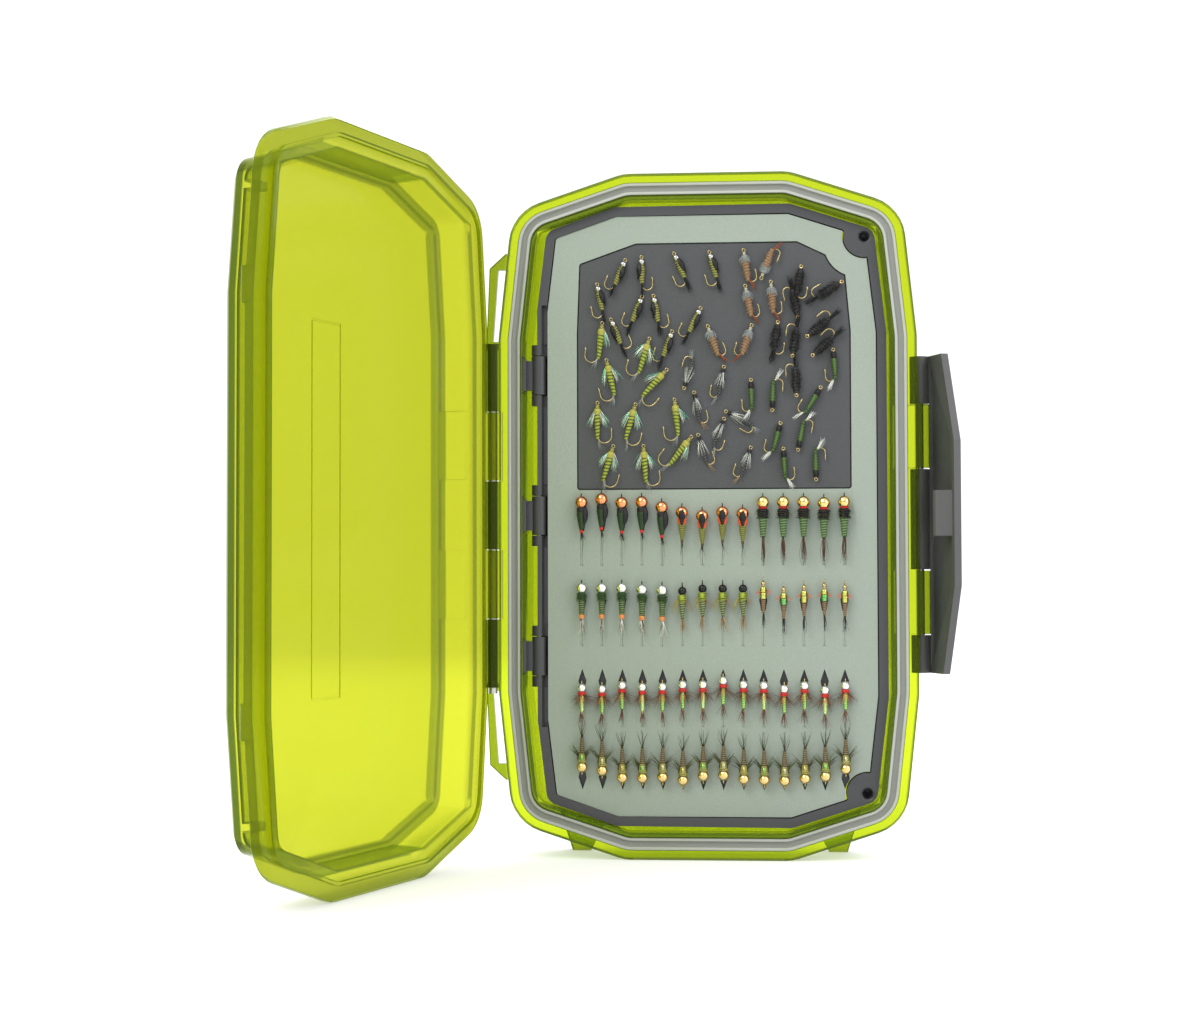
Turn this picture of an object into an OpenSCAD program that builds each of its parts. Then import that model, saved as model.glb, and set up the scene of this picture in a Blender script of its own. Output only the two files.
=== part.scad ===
// Fly box: a slim hinged case with a swinging foam leaf that carries the flies.
// Every module draws the box lying flat: X across, Y along its length, Z towards the lid.
// The rim is at Z = 0. stood_up() then stands the box on its short end.

/* [Case] */
// Length of the case
case_len = 184; // [176:1:200]
// Width of the case, without the latch
case_w = 112; // [110:1:124]
// Depth of the body below the rim
body_depth = 29; // [26:0.5:36]
// Depth of the lid above the rim
lid_depth = 13.2; // [12.8:0.2:16]
// Length of each flat end
end_flat = 44.4; // [36:0.2:52]
// Length of each straight side
side_flat = 95.4; // [90:0.2:104]
// How far each corner stands in from the side
corner_in = 3.7; // [2.5:0.1:5]
// How far each corner stands in from the end
corner_drop = 9.9; // [8:0.1:12]
// Rounding of the outline's corners
corner_r = 12; // [8:0.5:14]
// Thickness of the walls
wall = 1.8; // [1.4:0.1:2.2]
// Angle at which the lid is drawn open
lid_angle = 110; // [0:1:175]

/* [Rim and seal] */
// Depth of the body's rim flange
flange_t = 6; // [5.5:0.1:7]
// Depth of the lid's rim flange
lid_flange_t = 3; // [2.6:0.1:3.6]
// Width of the bare land outside the seal
land_w = 2.6; // [2.4:0.1:3]
// Width of the seal
seal_w = 3.4; // [3:0.1:3.8]
// Width of the wall inside the seal
inner_wall = 1.4; // [1.2:0.1:1.6]
// Depth of the seal's channel
seal_channel = 2.4; // [2:0.1:3]
// Width of the groove along the seal
seal_groove_w = 1.6; // [1.4:0.1:1.8]
// Depth of the groove along the seal
seal_groove_d = 0.9; // [0.8:0.1:1]
// Gap between the two rims when shut
rim_gap = 0.4; // [0.3:0.1:0.6]

/* [Hinge] */
// Radius of the hinge knuckles
knuckle_r = 2.3; // [2.2:0.05:2.5]
// Length of each hinge knuckle
knuckle_len = 18.5; // [16:0.5:19]
// Radius of the steel pin
pin_r = 1.25; // [1:0.05:1.4]
// How far the hinge axis stands out from the rim
hinge_out = 1.5; // [1.5:0.1:2]
// Running clearance round the pins
pin_clear = 0.05; // [0.02:0.01:0.1]

/* [Latch] */
// Length of the latch
latch_len = 85; // [80:1:90]
// Length of the latch's tall middle part
latch_mid_len = 38; // [30:1:44]
// Thickness of the latch plate
latch_t = 2; // [1.8:0.1:2.6]
// Height of the latch's ends above its pin
latch_end_h = 10; // [8:0.5:11]
// Height of the latch's middle above its pin
latch_mid_h = 17.4; // [17:0.2:20]
// Angle at which the latch is drawn ajar
latch_angle = 20; // [18:1:60]
// Radius of the latch knuckles
latch_knuckle_r = 2.6; // [2.4:0.1:2.7]
// Radius of the latch pin
latch_pin_r = 1; // [0.8:0.05:1.2]

/* [Leaf] */
// Width of the leaf's frame bars
frame_w = 2.5; // [2.2:0.1:2.8]
// How far the leaf's front lies below the rim
leaf_drop = 1.7; // [1.6:0.1:2.4]
// Thickness of each foam sheet
foam_t = 1.6; // [1.6:0.1:2]
// Thickness of the plate between the sheets
core_t = 0.8; // [0.6:0.1:1]
// How far the frame stands proud of each sheet
frame_proud = 0.3; // [0.2:0.1:0.5]
// Gap between the leaf and the case, and round the foam
leaf_gap = 0.6; // [0.5:0.1:0.8]
// Radius of the leaf's hinge barrels
barrel_r = 2; // [1.8:0.05:2]
// Length of each clip's barrel
clip_len = 10.4; // [9:0.2:12]
// Length of each frame tab beside a barrel
tab_len = 2.8; // [2.4:0.1:3.2]
// Distance between the leaf's hinges
clip_pitch = 37.85; // [36:0.05:40]
// Radius of the leaf's hinge pins
leaf_pin_r = 0.6; // [0.5:0.05:0.7]
// Radius of the two corner bosses
boss_r = 5.6; // [5:0.1:6]
// Radius of the holes in the corner bosses
boss_hole_r = 1.8; // [1.5:0.1:2]

/* [Flies] */
// Number of flies in a row
row_flies = 14; // [6:1:14]
// Distance between the flies in a row
fly_pitch = 5.39; // [5.2:0.01:5.4]
// Distance between the rows of slots
row_pitch = 21.6; // [21.4:0.1:22]
// Height of a kite-shaped slot's head
kite_head = 3.2; // [2.6:0.1:3.6]
// Width of a kite-shaped slot
kite_w = 2.2; // [1.8:0.1:2.6]
// Whole length of a slot
slot_len = 15.5; // [15.3:0.1:15.8]
// Width of a slot's narrow part
slot_w = 0.9; // [0.8:0.1:1.1]
// Length of a hook's shank in the rows
shank_len = 6.7; // [6.2:0.1:6.8]
// Length of a middling fly on the pad
pad_fly_len = 7; // [6:0.1:7]
// Radius of a bead
bead_r = 1.75; // [1.6:0.05:1.85]
// Radius of the hook wire
wire_r = 0.2; // [0.15:0.01:0.22]
// Gap of a hook, between its shank and its point
hook_gap = 3; // [2.8:0.1:3.1]

/* [Hidden] */

half_w = case_w / 2;
half_len = case_len / 2;
rim_w = land_w + seal_w + inner_wall;
wall_in = rim_w - wall;
arc_step = 12;
eps = 0.01;
round_fn = 48;
small_fn = 20;

lime = [0.78, 0.84, 0.12, 0.55];
sage = [0.65, 0.70, 0.63];
slate = [0.29, 0.31, 0.33];
steel = [0.70, 0.70, 0.68];

// Hinge axis of the lid, and the stretches of its five knuckles
hinge_x = -half_w - hinge_out;
knuckle_gap = 0.3;
hinge_len = 5 * knuckle_len;
function knuckle_mid(i) = (i - 2) * knuckle_len;
knuckle_room = 0.45;

// Latch axis, behind the rim on the free side
latch_x = half_w + 1.2;
latch_z = -flange_t - 3;
latch_in = 1.7;
latch_lip = 3.9;
latch_lip_len = 12;
latch_dish_depth = 1;
bracket_y = [21, -23.6];
bracket_len = 17;
bracket_gap = 0.35;

// Leaf: levels, and the axis of its hinges
foam_top = -leaf_drop - frame_proud;
core_top = foam_top - foam_t;
core_bottom = core_top - core_t;
back_bottom = core_bottom - foam_t;
frame_bottom = back_bottom - frame_proud;
leaf_left = half_w - rim_w - 3;
leaf_right = half_w - rim_w - leaf_gap;
leaf_top = half_len - rim_w - leaf_gap - 0.6;
leaf_axis_x = -leaf_left + 0.3;
leaf_axis_z = -leaf_drop - barrel_r + 0.05;
foam_gap = 0.3;
hinge_side = 3 * clip_pitch;
boss = [leaf_right - 5.7, leaf_top - 9.1];

// Magnetic pad and its window in the foam
pad_left = -34.6;
pad_right = 38.3;
pad_bottom = 7.1;
pad_top = leaf_top - 10.4;
pad_t = 1.3;
pad_notch_r = 9.2;
pad_surface = core_top + pad_t;

// Rows of slots: the level of each slot's tip, and which way the flies hang
row_1_tip = 2;
row_4_tip = 9.9 - leaf_top;
row_mid_x = 1.45;
function column_x(i) = row_mid_x + (i - (row_flies - 1) / 2) * fly_pitch;
function row_tip(row) = row == 4 ? row_4_tip : row_1_tip - (row - 1) * row_pitch;

// ---- Outlines ----

function unit(v) = v / norm(v);
function inward(p, q) = let (d = unit(q - p)) [-d[1], d[0]];

// Outline of a convex shape, inset by d, with each corner rounded to radius r
function outline(pts, d, r) = [
    for (i = [0 : len(pts) - 1])
        let (
            p = pts[i],
            a = inward(pts[(i + len(pts) - 1) % len(pts)], p),
            b = inward(p, pts[(i + 1) % len(pts)]),
            centre = p + (d + r) * (a + b) / (1 + a * b),
            start = atan2(-a[1], -a[0]),
            turn = (atan2(-b[1], -b[0]) - start + 540) % 360 - 180,
            steps = max(1, ceil(turn / arc_step))
        )
        for (k = [0 : steps])
            centre + r * [cos(start + turn * k / steps), sin(start + turn * k / steps)]
];

function mirrored(quarter) = concat(
    quarter,
    [for (i = [len(quarter) - 1 : -1 : 0]) [-quarter[i][0], quarter[i][1]]],
    [for (p = quarter) -p],
    [for (i = [len(quarter) - 1 : -1 : 0]) [quarter[i][0], -quarter[i][1]]]
);

case_pts = mirrored([
    [half_w, side_flat / 2],
    [half_w - corner_in, half_len - corner_drop],
    [end_flat / 2, half_len]
]);
function case_outline(d) = outline(case_pts, d, max(corner_r - d, 2));

leaf_upper = [
    [leaf_right, side_flat / 2 + 1],
    [leaf_right - 3.2, leaf_top - 7.3],
    [end_flat / 2 + 0.3, leaf_top],
    [-end_flat / 2 - 2.3, leaf_top],
    [-leaf_left + 2.6, leaf_top - 6.4],
    [-leaf_left, side_flat / 2 + 7.3]
];
leaf_pts = concat(leaf_upper, [for (i = [len(leaf_upper) - 1 : -1 : 0]) [leaf_upper[i][0], -leaf_upper[i][1]]]);
function leaf_outline(d) = outline(leaf_pts, d, max(3.5 - d, 0.8));

// ---- Shared shapes ----

// Solid through a stack of outlines with equal numbers of points, each [height, points]
module loft(stack) {
    n = len(stack[0][1]);
    top = len(stack) - 1;
    points = [for (s = stack) for (p = s[1]) [p[0], p[1], s[0]]];
    sides = [
        for (j = [0 : top - 1])
            for (i = [0 : n - 1])
                let (k = (i + 1) % n)
                [j * n + i, (j + 1) * n + i, (j + 1) * n + k, j * n + k]
    ];
    polyhedron(
        points,
        concat(
            [[for (i = [0 : n - 1]) i]],
            sides,
            [[for (i = [n - 1 : -1 : 0]) top * n + i]]
        )
    );
}

// Plate of an outline between two heights
module plate(pts, low, high) {
    translate([0, 0, low])
        linear_extrude(high - low)
            polygon(pts);
}

// Ring between two insets of the case outline
module rim_ring(outer, inner, low, high) {
    difference() {
        plate(case_outline(outer), low, high);
        plate(case_outline(inner), low - 1, high + 1);
    }
}

// Rod along Y, centred at the given place
module rod_y(x, y, z, r, length, fn = round_fn) {
    translate([x, y + length / 2, z])
        rotate([90, 0, 0])
            cylinder(r = r, h = length, $fn = fn);
}

module block(low, high) {
    translate(low)
        cube(high - low);
}

// Stands the box on its short end, with the origin under the middle of the body's flange
module stood_up() {
    translate([0, -flange_t / 2, half_len])
        rotate([90, 0, 0])
            children();
}

module opened() {
    translate([hinge_x, 0, 0])
        rotate([0, -lid_angle, 0])
            translate([-hinge_x, 0, 0])
                children();
}

// ---- Case ----

module body_form() {
    loft([
        [-body_depth, case_outline(wall_in + 4.9)],
        [-body_depth + 3.5, case_outline(wall_in + 1.2)],
        [-flange_t - 2, case_outline(wall_in)],
        [-flange_t, case_outline(1)],
        [-flange_t + 1, case_outline(0)],
        [-0.9, case_outline(0)],
        [0, case_outline(0.7)]
    ]);
}

module body_hollow() {
    loft([
        [-body_depth + wall, case_outline(rim_w + 4.2)],
        [-body_depth + wall + 3.2, case_outline(rim_w + 0.8)],
        [-flange_t, case_outline(rim_w)],
        [1, case_outline(rim_w)]
    ]);
}

// Bar loop at one end of the hinge side, for a lanyard
module lanyard_loop() {
    low = -flange_t;
    high = -lid_flange_t - 0.9;
    outer = hinge_x - knuckle_r + 0.1;
    translate([0, 0, low])
        linear_extrude(high - low)
            difference() {
                polygon([
                    [outer, hinge_len / 2 - 1],
                    [-half_w + 4, hinge_len / 2 - 1],
                    [-half_w + 5, hinge_len / 2 + 24],
                    [-half_w + 1.6, hinge_len / 2 + 25],
                    [outer + 0.9, hinge_len / 2 + 21]
                ]);
                polygon([
                    [outer + 1.8, hinge_len / 2 + 1],
                    [-half_w + 0.9, hinge_len / 2 + 1],
                    [-half_w + 2.2, hinge_len / 2 + 20.6],
                    [outer + 3.2, hinge_len / 2 + 20.6]
                ]);
            }
}

module body_knuckles() {
    for (i = [0, 2, 4]) {
        length = knuckle_len - knuckle_gap;
        rod_y(hinge_x, knuckle_mid(i), 0, knuckle_r, length);
        block(
            [hinge_x, knuckle_mid(i) - length / 2, -knuckle_r],
            [-half_w + land_w - 0.3, knuckle_mid(i) + length / 2, -0.2]
        );
    }
}

module latch_brackets() {
    for (y = bracket_y) {
        rod_y(latch_x, y, latch_z, latch_knuckle_r, bracket_len);
        block(
            [half_w - wall_in - 1, y - bracket_len / 2, latch_z],
            [latch_x, y + bracket_len / 2, -0.2]
        );
        block(
            [half_w - wall_in - 1, y - bracket_len / 2, latch_z - latch_knuckle_r],
            [latch_x, y + bracket_len / 2, latch_z + 0.1]
        );
    }
}

// Feet that reach the level of the flange's flat end
module case_feet() {
    root = half_len - rim_w - 6.5;
    for (sx = [0, 1])
        for (sy = [0, 1])
            mirror([sx, 0, 0])
                mirror([0, sy, 0])
                    translate([0, 0, -body_depth + 6])
                        linear_extrude(4)
                            polygon([
                                [end_flat / 2 + 3, root], [end_flat / 2 + 21, root - 3],
                                [end_flat / 2 + 15.5, half_len], [end_flat / 2 + 10.5, half_len]
                            ]);
}

// Post under each corner boss of the leaf
module leaf_posts() {
    floor_z = -body_depth + wall - 0.3;
    for (sy = [-1, 1])
        translate([boss[0], sy * boss[1], floor_z])
            difference() {
                cylinder(r = boss_hole_r + 1.5, h = frame_bottom - 0.3 - floor_z, $fn = round_fn);
                translate([0, 0, 1])
                    cylinder(r = boss_hole_r - 0.6, h = body_depth, $fn = small_fn);
            }
}

// Foot of one clip, or the pocket cut for it in the wall inside the seal
module clip_foot(y, room, top) {
    low = core_bottom - 1 - room;
    outer = -half_w + rim_w - inner_wall + 0.5 - room;
    inner = -half_w + rim_w + 0.1 + room;
    translate([0, y, low])
        linear_extrude(top - low)
            polygon([
                [outer, -clip_len / 2 - room], [inner, -clip_len / 2 + 1.2 - room],
                [inner, clip_len / 2 - 1.2 + room], [outer, clip_len / 2 + room]
            ]);
}

module case_body() {
    color(lime)
        difference() {
            union() {
                difference() {
                    union() {
                        body_form();
                        case_feet();
                        latch_brackets();
                    }
                    body_hollow();
                    rim_ring(land_w, land_w + seal_w, -seal_channel, 1);
                    for (i = [1, 3])
                        rod_y(hinge_x, knuckle_mid(i), 0, knuckle_r + knuckle_room, knuckle_len);
                    for (y = [-1, 0, 1] * clip_pitch)
                        clip_foot(y, 0.05, 1);
                }
                body_knuckles();
                leaf_posts();
                for (s = [0, 1])
                    mirror([0, s, 0])
                        lanyard_loop();
            }
            rod_y(hinge_x, 0, 0, pin_r + pin_clear, 2 * hinge_len);
            rod_y(latch_x, 0, latch_z, latch_pin_r + pin_clear, 2 * latch_len);
        }
}

module lid_form() {
    loft([
        [rim_gap, case_outline(0.6)],
        [rim_gap + 0.7, case_outline(0)],
        [rim_gap + lid_flange_t - 0.8, case_outline(0)],
        [rim_gap + lid_flange_t, case_outline(0.9)],
        [rim_gap + lid_flange_t + 0.1, case_outline(wall_in - 1)],
        [rim_gap + lid_flange_t + 1.2, case_outline(wall_in)],
        [lid_depth - 2.2, case_outline(wall_in + 0.4)],
        [lid_depth, case_outline(wall_in + 3)]
    ]);
}

module lid_hollow() {
    loft([
        [-1, case_outline(rim_w)],
        [lid_depth - wall - 1.4, case_outline(rim_w + 0.3)],
        [lid_depth - wall, case_outline(rim_w + 2.4)]
    ]);
}

module lid_knuckles() {
    for (i = [1, 3]) {
        length = knuckle_len - knuckle_gap;
        rod_y(hinge_x, knuckle_mid(i), 0, knuckle_r, length);
        block(
            [hinge_x, knuckle_mid(i) - length / 2, rim_gap],
            [-half_w + 3, knuckle_mid(i) + length / 2, knuckle_r]
        );
        block(
            [-half_w + wall_in, knuckle_mid(i) - length / 2, lid_flange_t],
            [-half_w + rim_w + 1.6, knuckle_mid(i) + length / 2, lid_depth - wall + 0.1]
        );
    }
}

// Bumps on the lid's free side that guard the ends of the latch
module latch_guards() {
    for (s = [-1, 1])
        translate([half_w - 0.9, s * (latch_len / 2 + 5.5), rim_gap + 1.9])
            rotate([90, 0, 0])
                cylinder(r = 1.6, h = 8, center = true, $fn = small_fn);
}

// Small locating ribs in the lid's two free corners
module lid_ribs() {
    for (s = [-1, 1])
        translate([half_w - rim_w - 4.6, s * (half_len - 19.5), lid_depth - wall - 4])
            block([-4, -1, 0], [2.4, 1, 4.1]);
}

// Groove round the bare plaque on the outside of the lid
module plaque_groove() {
    low = [-0.7, -half_len / 2, lid_depth - 0.4];
    high = [12.6, half_len / 2, lid_depth + 1];
    edge = [0.4, 0.4, -1];
    difference() {
        block(low, high);
        block(low + edge, high - edge);
    }
}

module case_lid() {
    color(lime)
        opened()
            difference() {
                union() {
                    difference() {
                        union() {
                            lid_form();
                            latch_guards();
                        }
                        lid_hollow();
                        for (i = [0, 2, 4])
                            rod_y(hinge_x, knuckle_mid(i), 0, knuckle_r + knuckle_room, knuckle_len);
                    }
                    rim_ring(
                        land_w + (seal_w - seal_groove_w) / 2 + 0.35,
                        land_w + (seal_w + seal_groove_w) / 2 - 0.35,
                        -rim_gap - 0.25, rim_gap + 0.1
                    );
                    lid_knuckles();
                    lid_ribs();
                }
                rod_y(hinge_x, 0, 0, pin_r + pin_clear, 2 * hinge_len);
                plaque_groove();
            }
}

module rim_gasket() {
    fit = 0.05;
    mid = land_w + seal_w / 2;
    color(sage)
        difference() {
            rim_ring(land_w + fit, land_w + seal_w - fit, -seal_channel, -0.2);
            rim_ring(
                mid - seal_groove_w / 2, mid + seal_groove_w / 2,
                -0.2 - seal_groove_d, 1
            );
        }
}

module hinge_pin() {
    color(steel)
        rod_y(hinge_x, -0.9, 0, pin_r, hinge_len + 1.2);
}

// ---- Latch ----

module latch_plate() {
    outer_y = latch_len / 2;
    mid_y = latch_mid_len / 2;
    translate([latch_in, 0, 0])
        rotate([90, 0, 90])
            linear_extrude(latch_t)
                polygon([
                    [-outer_y, 0], [outer_y, 0], [outer_y, latch_end_h],
                    [mid_y, latch_mid_h], [-mid_y, latch_mid_h], [-outer_y, latch_end_h]
                ]);
}

// Hollow in the face of the plate that looks at the case, its ends cut on the slant
module latch_dish() {
    translate([latch_in - 1, 0, 0])
        rotate([90, 0, 90])
            linear_extrude(1 + latch_dish_depth)
                polygon([
                    [-latch_len / 2 + 1.2, latch_knuckle_r], [latch_len / 2 - 1.2, latch_knuckle_r],
                    [latch_mid_len / 2 + 0.5, latch_mid_h - 1.6], [-latch_mid_len / 2 - 0.5, latch_mid_h - 1.6]
                ]);
}

// Snap lip that catches the top of the lid's flange
module latch_snap() {
    low = rim_gap + lid_flange_t + 0.35 - latch_z;
    tip = latch_in - latch_lip;
    root = latch_in + latch_dish_depth + 0.3;
    rotate([90, 0, 0])
        linear_extrude(latch_lip_len, center = true)
            polygon([
                [root, low - 0.8], [tip, low], [tip + 0.3, low + 0.9], [root, latch_mid_h - 0.3]
            ]);
}

module latch() {
    first = bracket_y[0] + bracket_len / 2 + bracket_gap;
    last = bracket_y[1] - bracket_len / 2 - bracket_gap;
    inner_high = bracket_y[0] - bracket_len / 2 - bracket_gap;
    inner_low = bracket_y[1] + bracket_len / 2 + bracket_gap;
    stretches = [[first, latch_len / 2], [inner_low, inner_high], [-latch_len / 2, last]];
    color(slate)
        translate([latch_x, 0, latch_z])
            rotate([0, latch_angle, 0])
                difference() {
                    union() {
                        difference() {
                            latch_plate();
                            latch_dish();
                            for (y = bracket_y)
                                rod_y(0, y, 0, latch_knuckle_r + 0.4, bracket_len + 2 * bracket_gap);
                        }
                        latch_snap();
                        for (s = stretches) {
                            rod_y(0, (s[0] + s[1]) / 2, 0, latch_knuckle_r, s[1] - s[0]);
                            block([0, s[0], -latch_knuckle_r], [latch_in + latch_t, s[1], 2]);
                        }
                    }
                    rod_y(0, 0, 0, latch_pin_r + pin_clear, 2 * latch_len);
                }
}

module latch_pin() {
    color(steel)
        rod_y(latch_x, 0, latch_z, latch_pin_r, latch_len - 2);
}

// ---- Leaf ----

module at_each_clip() {
    for (y = [-1, 0, 1] * clip_pitch)
        translate([0, y, 0])
            children();
}

// Room for the clips' barrels, through everything on the leaf
module barrel_room() {
    at_each_clip()
        rod_y(leaf_axis_x, 0, leaf_axis_z, barrel_r + 0.3, clip_len + 0.4);
    at_each_clip()
        block(
            [-half_w, -clip_len / 2 - 0.2, leaf_axis_z - 1.6],
            [leaf_axis_x, clip_len / 2 + 0.2, 1]
        );
}

module at_bosses() {
    for (s = [-1, 1])
        translate([boss[0], s * boss[1], 0])
            children();
}

module leaf_frame() {
    color(slate)
        difference() {
            union() {
                difference() {
                    plate(leaf_outline(0), frame_bottom, -leaf_drop);
                    plate(leaf_outline(frame_w), frame_bottom - 1, 1);
                }
                intersection() {
                    plate(leaf_outline(0), frame_bottom, -leaf_drop);
                    at_bosses()
                        translate([0, 0, frame_bottom])
                            cylinder(r = boss_r, h = -leaf_drop - frame_bottom, $fn = round_fn);
                }
                at_each_clip()
                    for (s = [-1, 1])
                        rod_y(
                            leaf_axis_x, s * (clip_len / 2 + 0.2 + tab_len / 2), leaf_axis_z,
                            barrel_r, tab_len
                        );
            }
            plate(leaf_outline(frame_w - 1.1), core_bottom - 0.05, core_top + 0.05);
            block([-leaf_left + 1.2, -hinge_side / 2, core_top], [-leaf_left + frame_w + 0.1, hinge_side / 2, 1]);
            at_bosses()
                translate([0, 0, -body_depth])
                    cylinder(r = boss_hole_r, h = body_depth, $fn = round_fn);
            barrel_room();
            at_each_clip()
                rod_y(leaf_axis_x, 0, leaf_axis_z, leaf_pin_r + 0.02, 30, small_fn);
        }
}

module boss_room() {
    at_bosses()
        translate([0, 0, -body_depth])
            cylinder(r = boss_r + foam_gap, h = body_depth, $fn = round_fn);
}

module tab_room() {
    at_each_clip()
        rod_y(leaf_axis_x, 0, leaf_axis_z, barrel_r + 0.3, clip_len + 0.4 + 2 * tab_len + 0.6);
}

pad_pts = [
    [pad_right, pad_bottom],
    [pad_right, (pad_bottom + pad_top) / 2 + 9],
    [pad_right - 1.6, pad_top - 6],
    [pad_right - 14, pad_top],
    [pad_left + 15.8, pad_top],
    [pad_left + 0.7, pad_top - 5.3],
    [pad_left, (pad_bottom + pad_top) / 2 + 9],
    [pad_left, pad_bottom]
];

module pad_shape(room) {
    difference() {
        polygon(outline(pad_pts, -room, 0.5 + room));
        translate([pad_right + 2.2, pad_top - 0.6])
            circle(r = pad_notch_r - room, $fn = round_fn);
    }
}

// Kite-shaped slot, its tip at the origin and its narrow part running down
module kite() {
    polygon([
        [0, 0], [-kite_w / 2, -kite_head], [-slot_w / 2, -2 * kite_head - 0.4],
        [-slot_w / 2, -slot_len], [slot_w / 2, -slot_len],
        [slot_w / 2, -2 * kite_head - 0.4], [kite_w / 2, -kite_head]
    ]);
}

module all_slots() {
    for (row = [1 : 4])
        for (i = [0 : row_flies - 1])
            translate([column_x(i), row_tip(row)])
                rotate(row == 4 ? 180 : 0)
                    kite();
}

module leaf_front_foam() {
    color(sage)
        difference() {
            translate([0, 0, core_top])
                linear_extrude(foam_t)
                    difference() {
                        polygon(leaf_outline(frame_w + foam_gap));
                        pad_shape(foam_gap);
                        all_slots();
                    }
            boss_room();
            tab_room();
        }
}

module leaf_back_foam() {
    color(sage)
        difference() {
            translate([0, 0, back_bottom])
                linear_extrude(foam_t)
                    polygon(leaf_outline(frame_w + foam_gap));
            boss_room();
            tab_room();
        }
}

module leaf_core_plate() {
    color(slate)
        difference() {
            plate(leaf_outline(frame_w - 1), core_bottom, core_top);
            boss_room();
            tab_room();
        }
}

module magnetic_pad() {
    color(slate)
        translate([0, 0, core_top])
            linear_extrude(pad_t)
                pad_shape(0);
}

module leaf_clip(y) {
    color(slate)
        difference() {
            union() {
                clip_foot(y, 0, -0.4);
                rod_y(leaf_axis_x, y, leaf_axis_z, barrel_r, clip_len);
                block(
                    [-half_w + rim_w - 0.2, y - clip_len / 2 + 1.2, leaf_axis_z - 1.1],
                    [leaf_axis_x, y + clip_len / 2 - 1.2, leaf_axis_z + 1.1]
                );
            }
            rod_y(leaf_axis_x, y, leaf_axis_z, leaf_pin_r + pin_clear, 30, small_fn);
        }
}

module leaf_clip_top() { leaf_clip(clip_pitch); }
module leaf_clip_middle() { leaf_clip(0); }
module leaf_clip_bottom() { leaf_clip(-clip_pitch); }

module leaf_hinge_pins() {
    color(steel)
        at_each_clip()
            rod_y(leaf_axis_x, 0, leaf_axis_z, leaf_pin_r, clip_len + 2 * tab_len, small_fn);
}

// ---- Flies in the slots ----
// Each is drawn with its bead at the origin and its shank running down, along -Y.

// Length of the shank from the bead to the bend, and the bead's radius
function fly_shank(row) = shank_len * (row == 1 ? 1.12 : 1);
function bead_size(row) = row == 1 ? bead_r : row == 4 ? bead_r - 0.1 : bead_r - 0.25;

// How far along its slot from the tip each bead sits, as it was pushed in by hand
bead_from_tip = [
    [1.4, 2.2, 1.2, 1.4, 0, -1.4, -2.4, -1.4, -1.8, 1.2, 1.2, 1.2, 0.9, 1.2],
    [0, 0, 0, -0.4, -0.6, -0.8, -0.2, -0.2, -0.2, 0.6, -1, -0.4, 0, -0.4],
    [-5.1, -5.4, -4.4, -4.9, -4.8, -4.2, -4.2, -3.1, -4.2, -4.4, -5.3, -4.4, -5.6, -4.4],
    [-6.2, -5.3, -3.4, -3.4, -3.6, -2.8, -4, -4.2, -3.2, -3, -2.8, -3.4, -4, -6]
];

module at_row(row) {
    for (i = [0 : row_flies - 1])
        translate([column_x(i), row_tip(row), foam_top + bead_r + 0.05])
            rotate([0, 0, row == 4 ? 180 : 0])
                translate([0, bead_from_tip[row - 1][i], 0])
                    children();
}

// Flat ring at the front of a hook, its hole along Z
module hook_eye() {
    difference() {
        cylinder(r = 0.6, h = 0.4, center = true, $fn = small_fn);
        cylinder(r = 0.27, h = 1, center = true, $fn = small_fn);
    }
}

// Half-round bend and point of a hook, from a shank that ends at the origin
module hook_bend(gap, point) {
    translate([gap / 2, 0, 0])
        rotate([0, 0, 180])
            rotate_extrude(angle = 180, $fn = small_fn)
                translate([gap / 2, 0])
                    circle(r = wire_r, $fn = small_fn);
    rod_y(gap, point / 2, 0, wire_r, point, small_fn);
}

// Hook: eye, shank, round bend and point, its bend turned down into the slot
module slot_hook(row) {
    front = bead_size(row) + 0.3;
    length = fly_shank(row);
    rod_y(0, (front - length) / 2, 0, wire_r, front + length, small_fn);
    translate([0, front + 0.3, 0])
        rotate([0, 90, 0])
            hook_eye();
    translate([0, -length, 0])
        rotate([0, 90, 0])
            hook_bend(hook_gap, 2.8);
}

module row_hooks(row) {
    color("goldenrod")
        at_row(row)
            slot_hook(row);
}

module row_beads(row) {
    shade = row == 1 ? "peru" : row == 2 ? "silver" : row == 3 ? "whitesmoke" : "gold";
    color(shade)
        at_row(row)
            rotate([90, 0, 0])
                difference() {
                    sphere(r = bead_size(row), $fn = round_fn);
                    cylinder(r = wire_r + pin_clear, h = 8, center = true, $fn = small_fn);
                }
}

// Dressed body: a revolved taper from the collar behind the bead to the tail
module row_bodies(row) {
    length = fly_shank(row) - 0.4;
    start = bead_size(row) + 0.05;
    girth = row == 1 ? 1.25 : row == 2 ? 1.1 : row == 3 ? 0.95 : 1;
    color(row == 3 ? "olivedrab" : "darkolivegreen")
        at_row(row)
            rotate([90, 0, 0])
                rotate_extrude($fn = small_fn)
                    polygon([
                        [wire_r + 0.03, start], [0.85 * girth, start], [girth, start + 1.2],
                        [0.8 * girth, start + 2.6], [0.45, length], [wire_r + 0.03, length]
                    ]);
}

module row_1_hooks() { row_hooks(1); }
module row_1_beads() { row_beads(1); }
module row_1_bodies() { row_bodies(1); }
module row_2_hooks() { row_hooks(2); }
module row_2_beads() { row_beads(2); }
module row_2_bodies() { row_bodies(2); }
module row_3_hooks() { row_hooks(3); }
module row_3_beads() { row_beads(3); }
module row_3_bodies() { row_bodies(3); }
module row_4_hooks() { row_hooks(4); }
module row_4_beads() { row_beads(4); }
module row_4_bodies() { row_bodies(4); }

// ---- Flies on the magnetic pad ----
// Each lies on its side where a hand dropped it: [eye x, eye y, turn of the shank from
// straight down, side of the hook].

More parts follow.
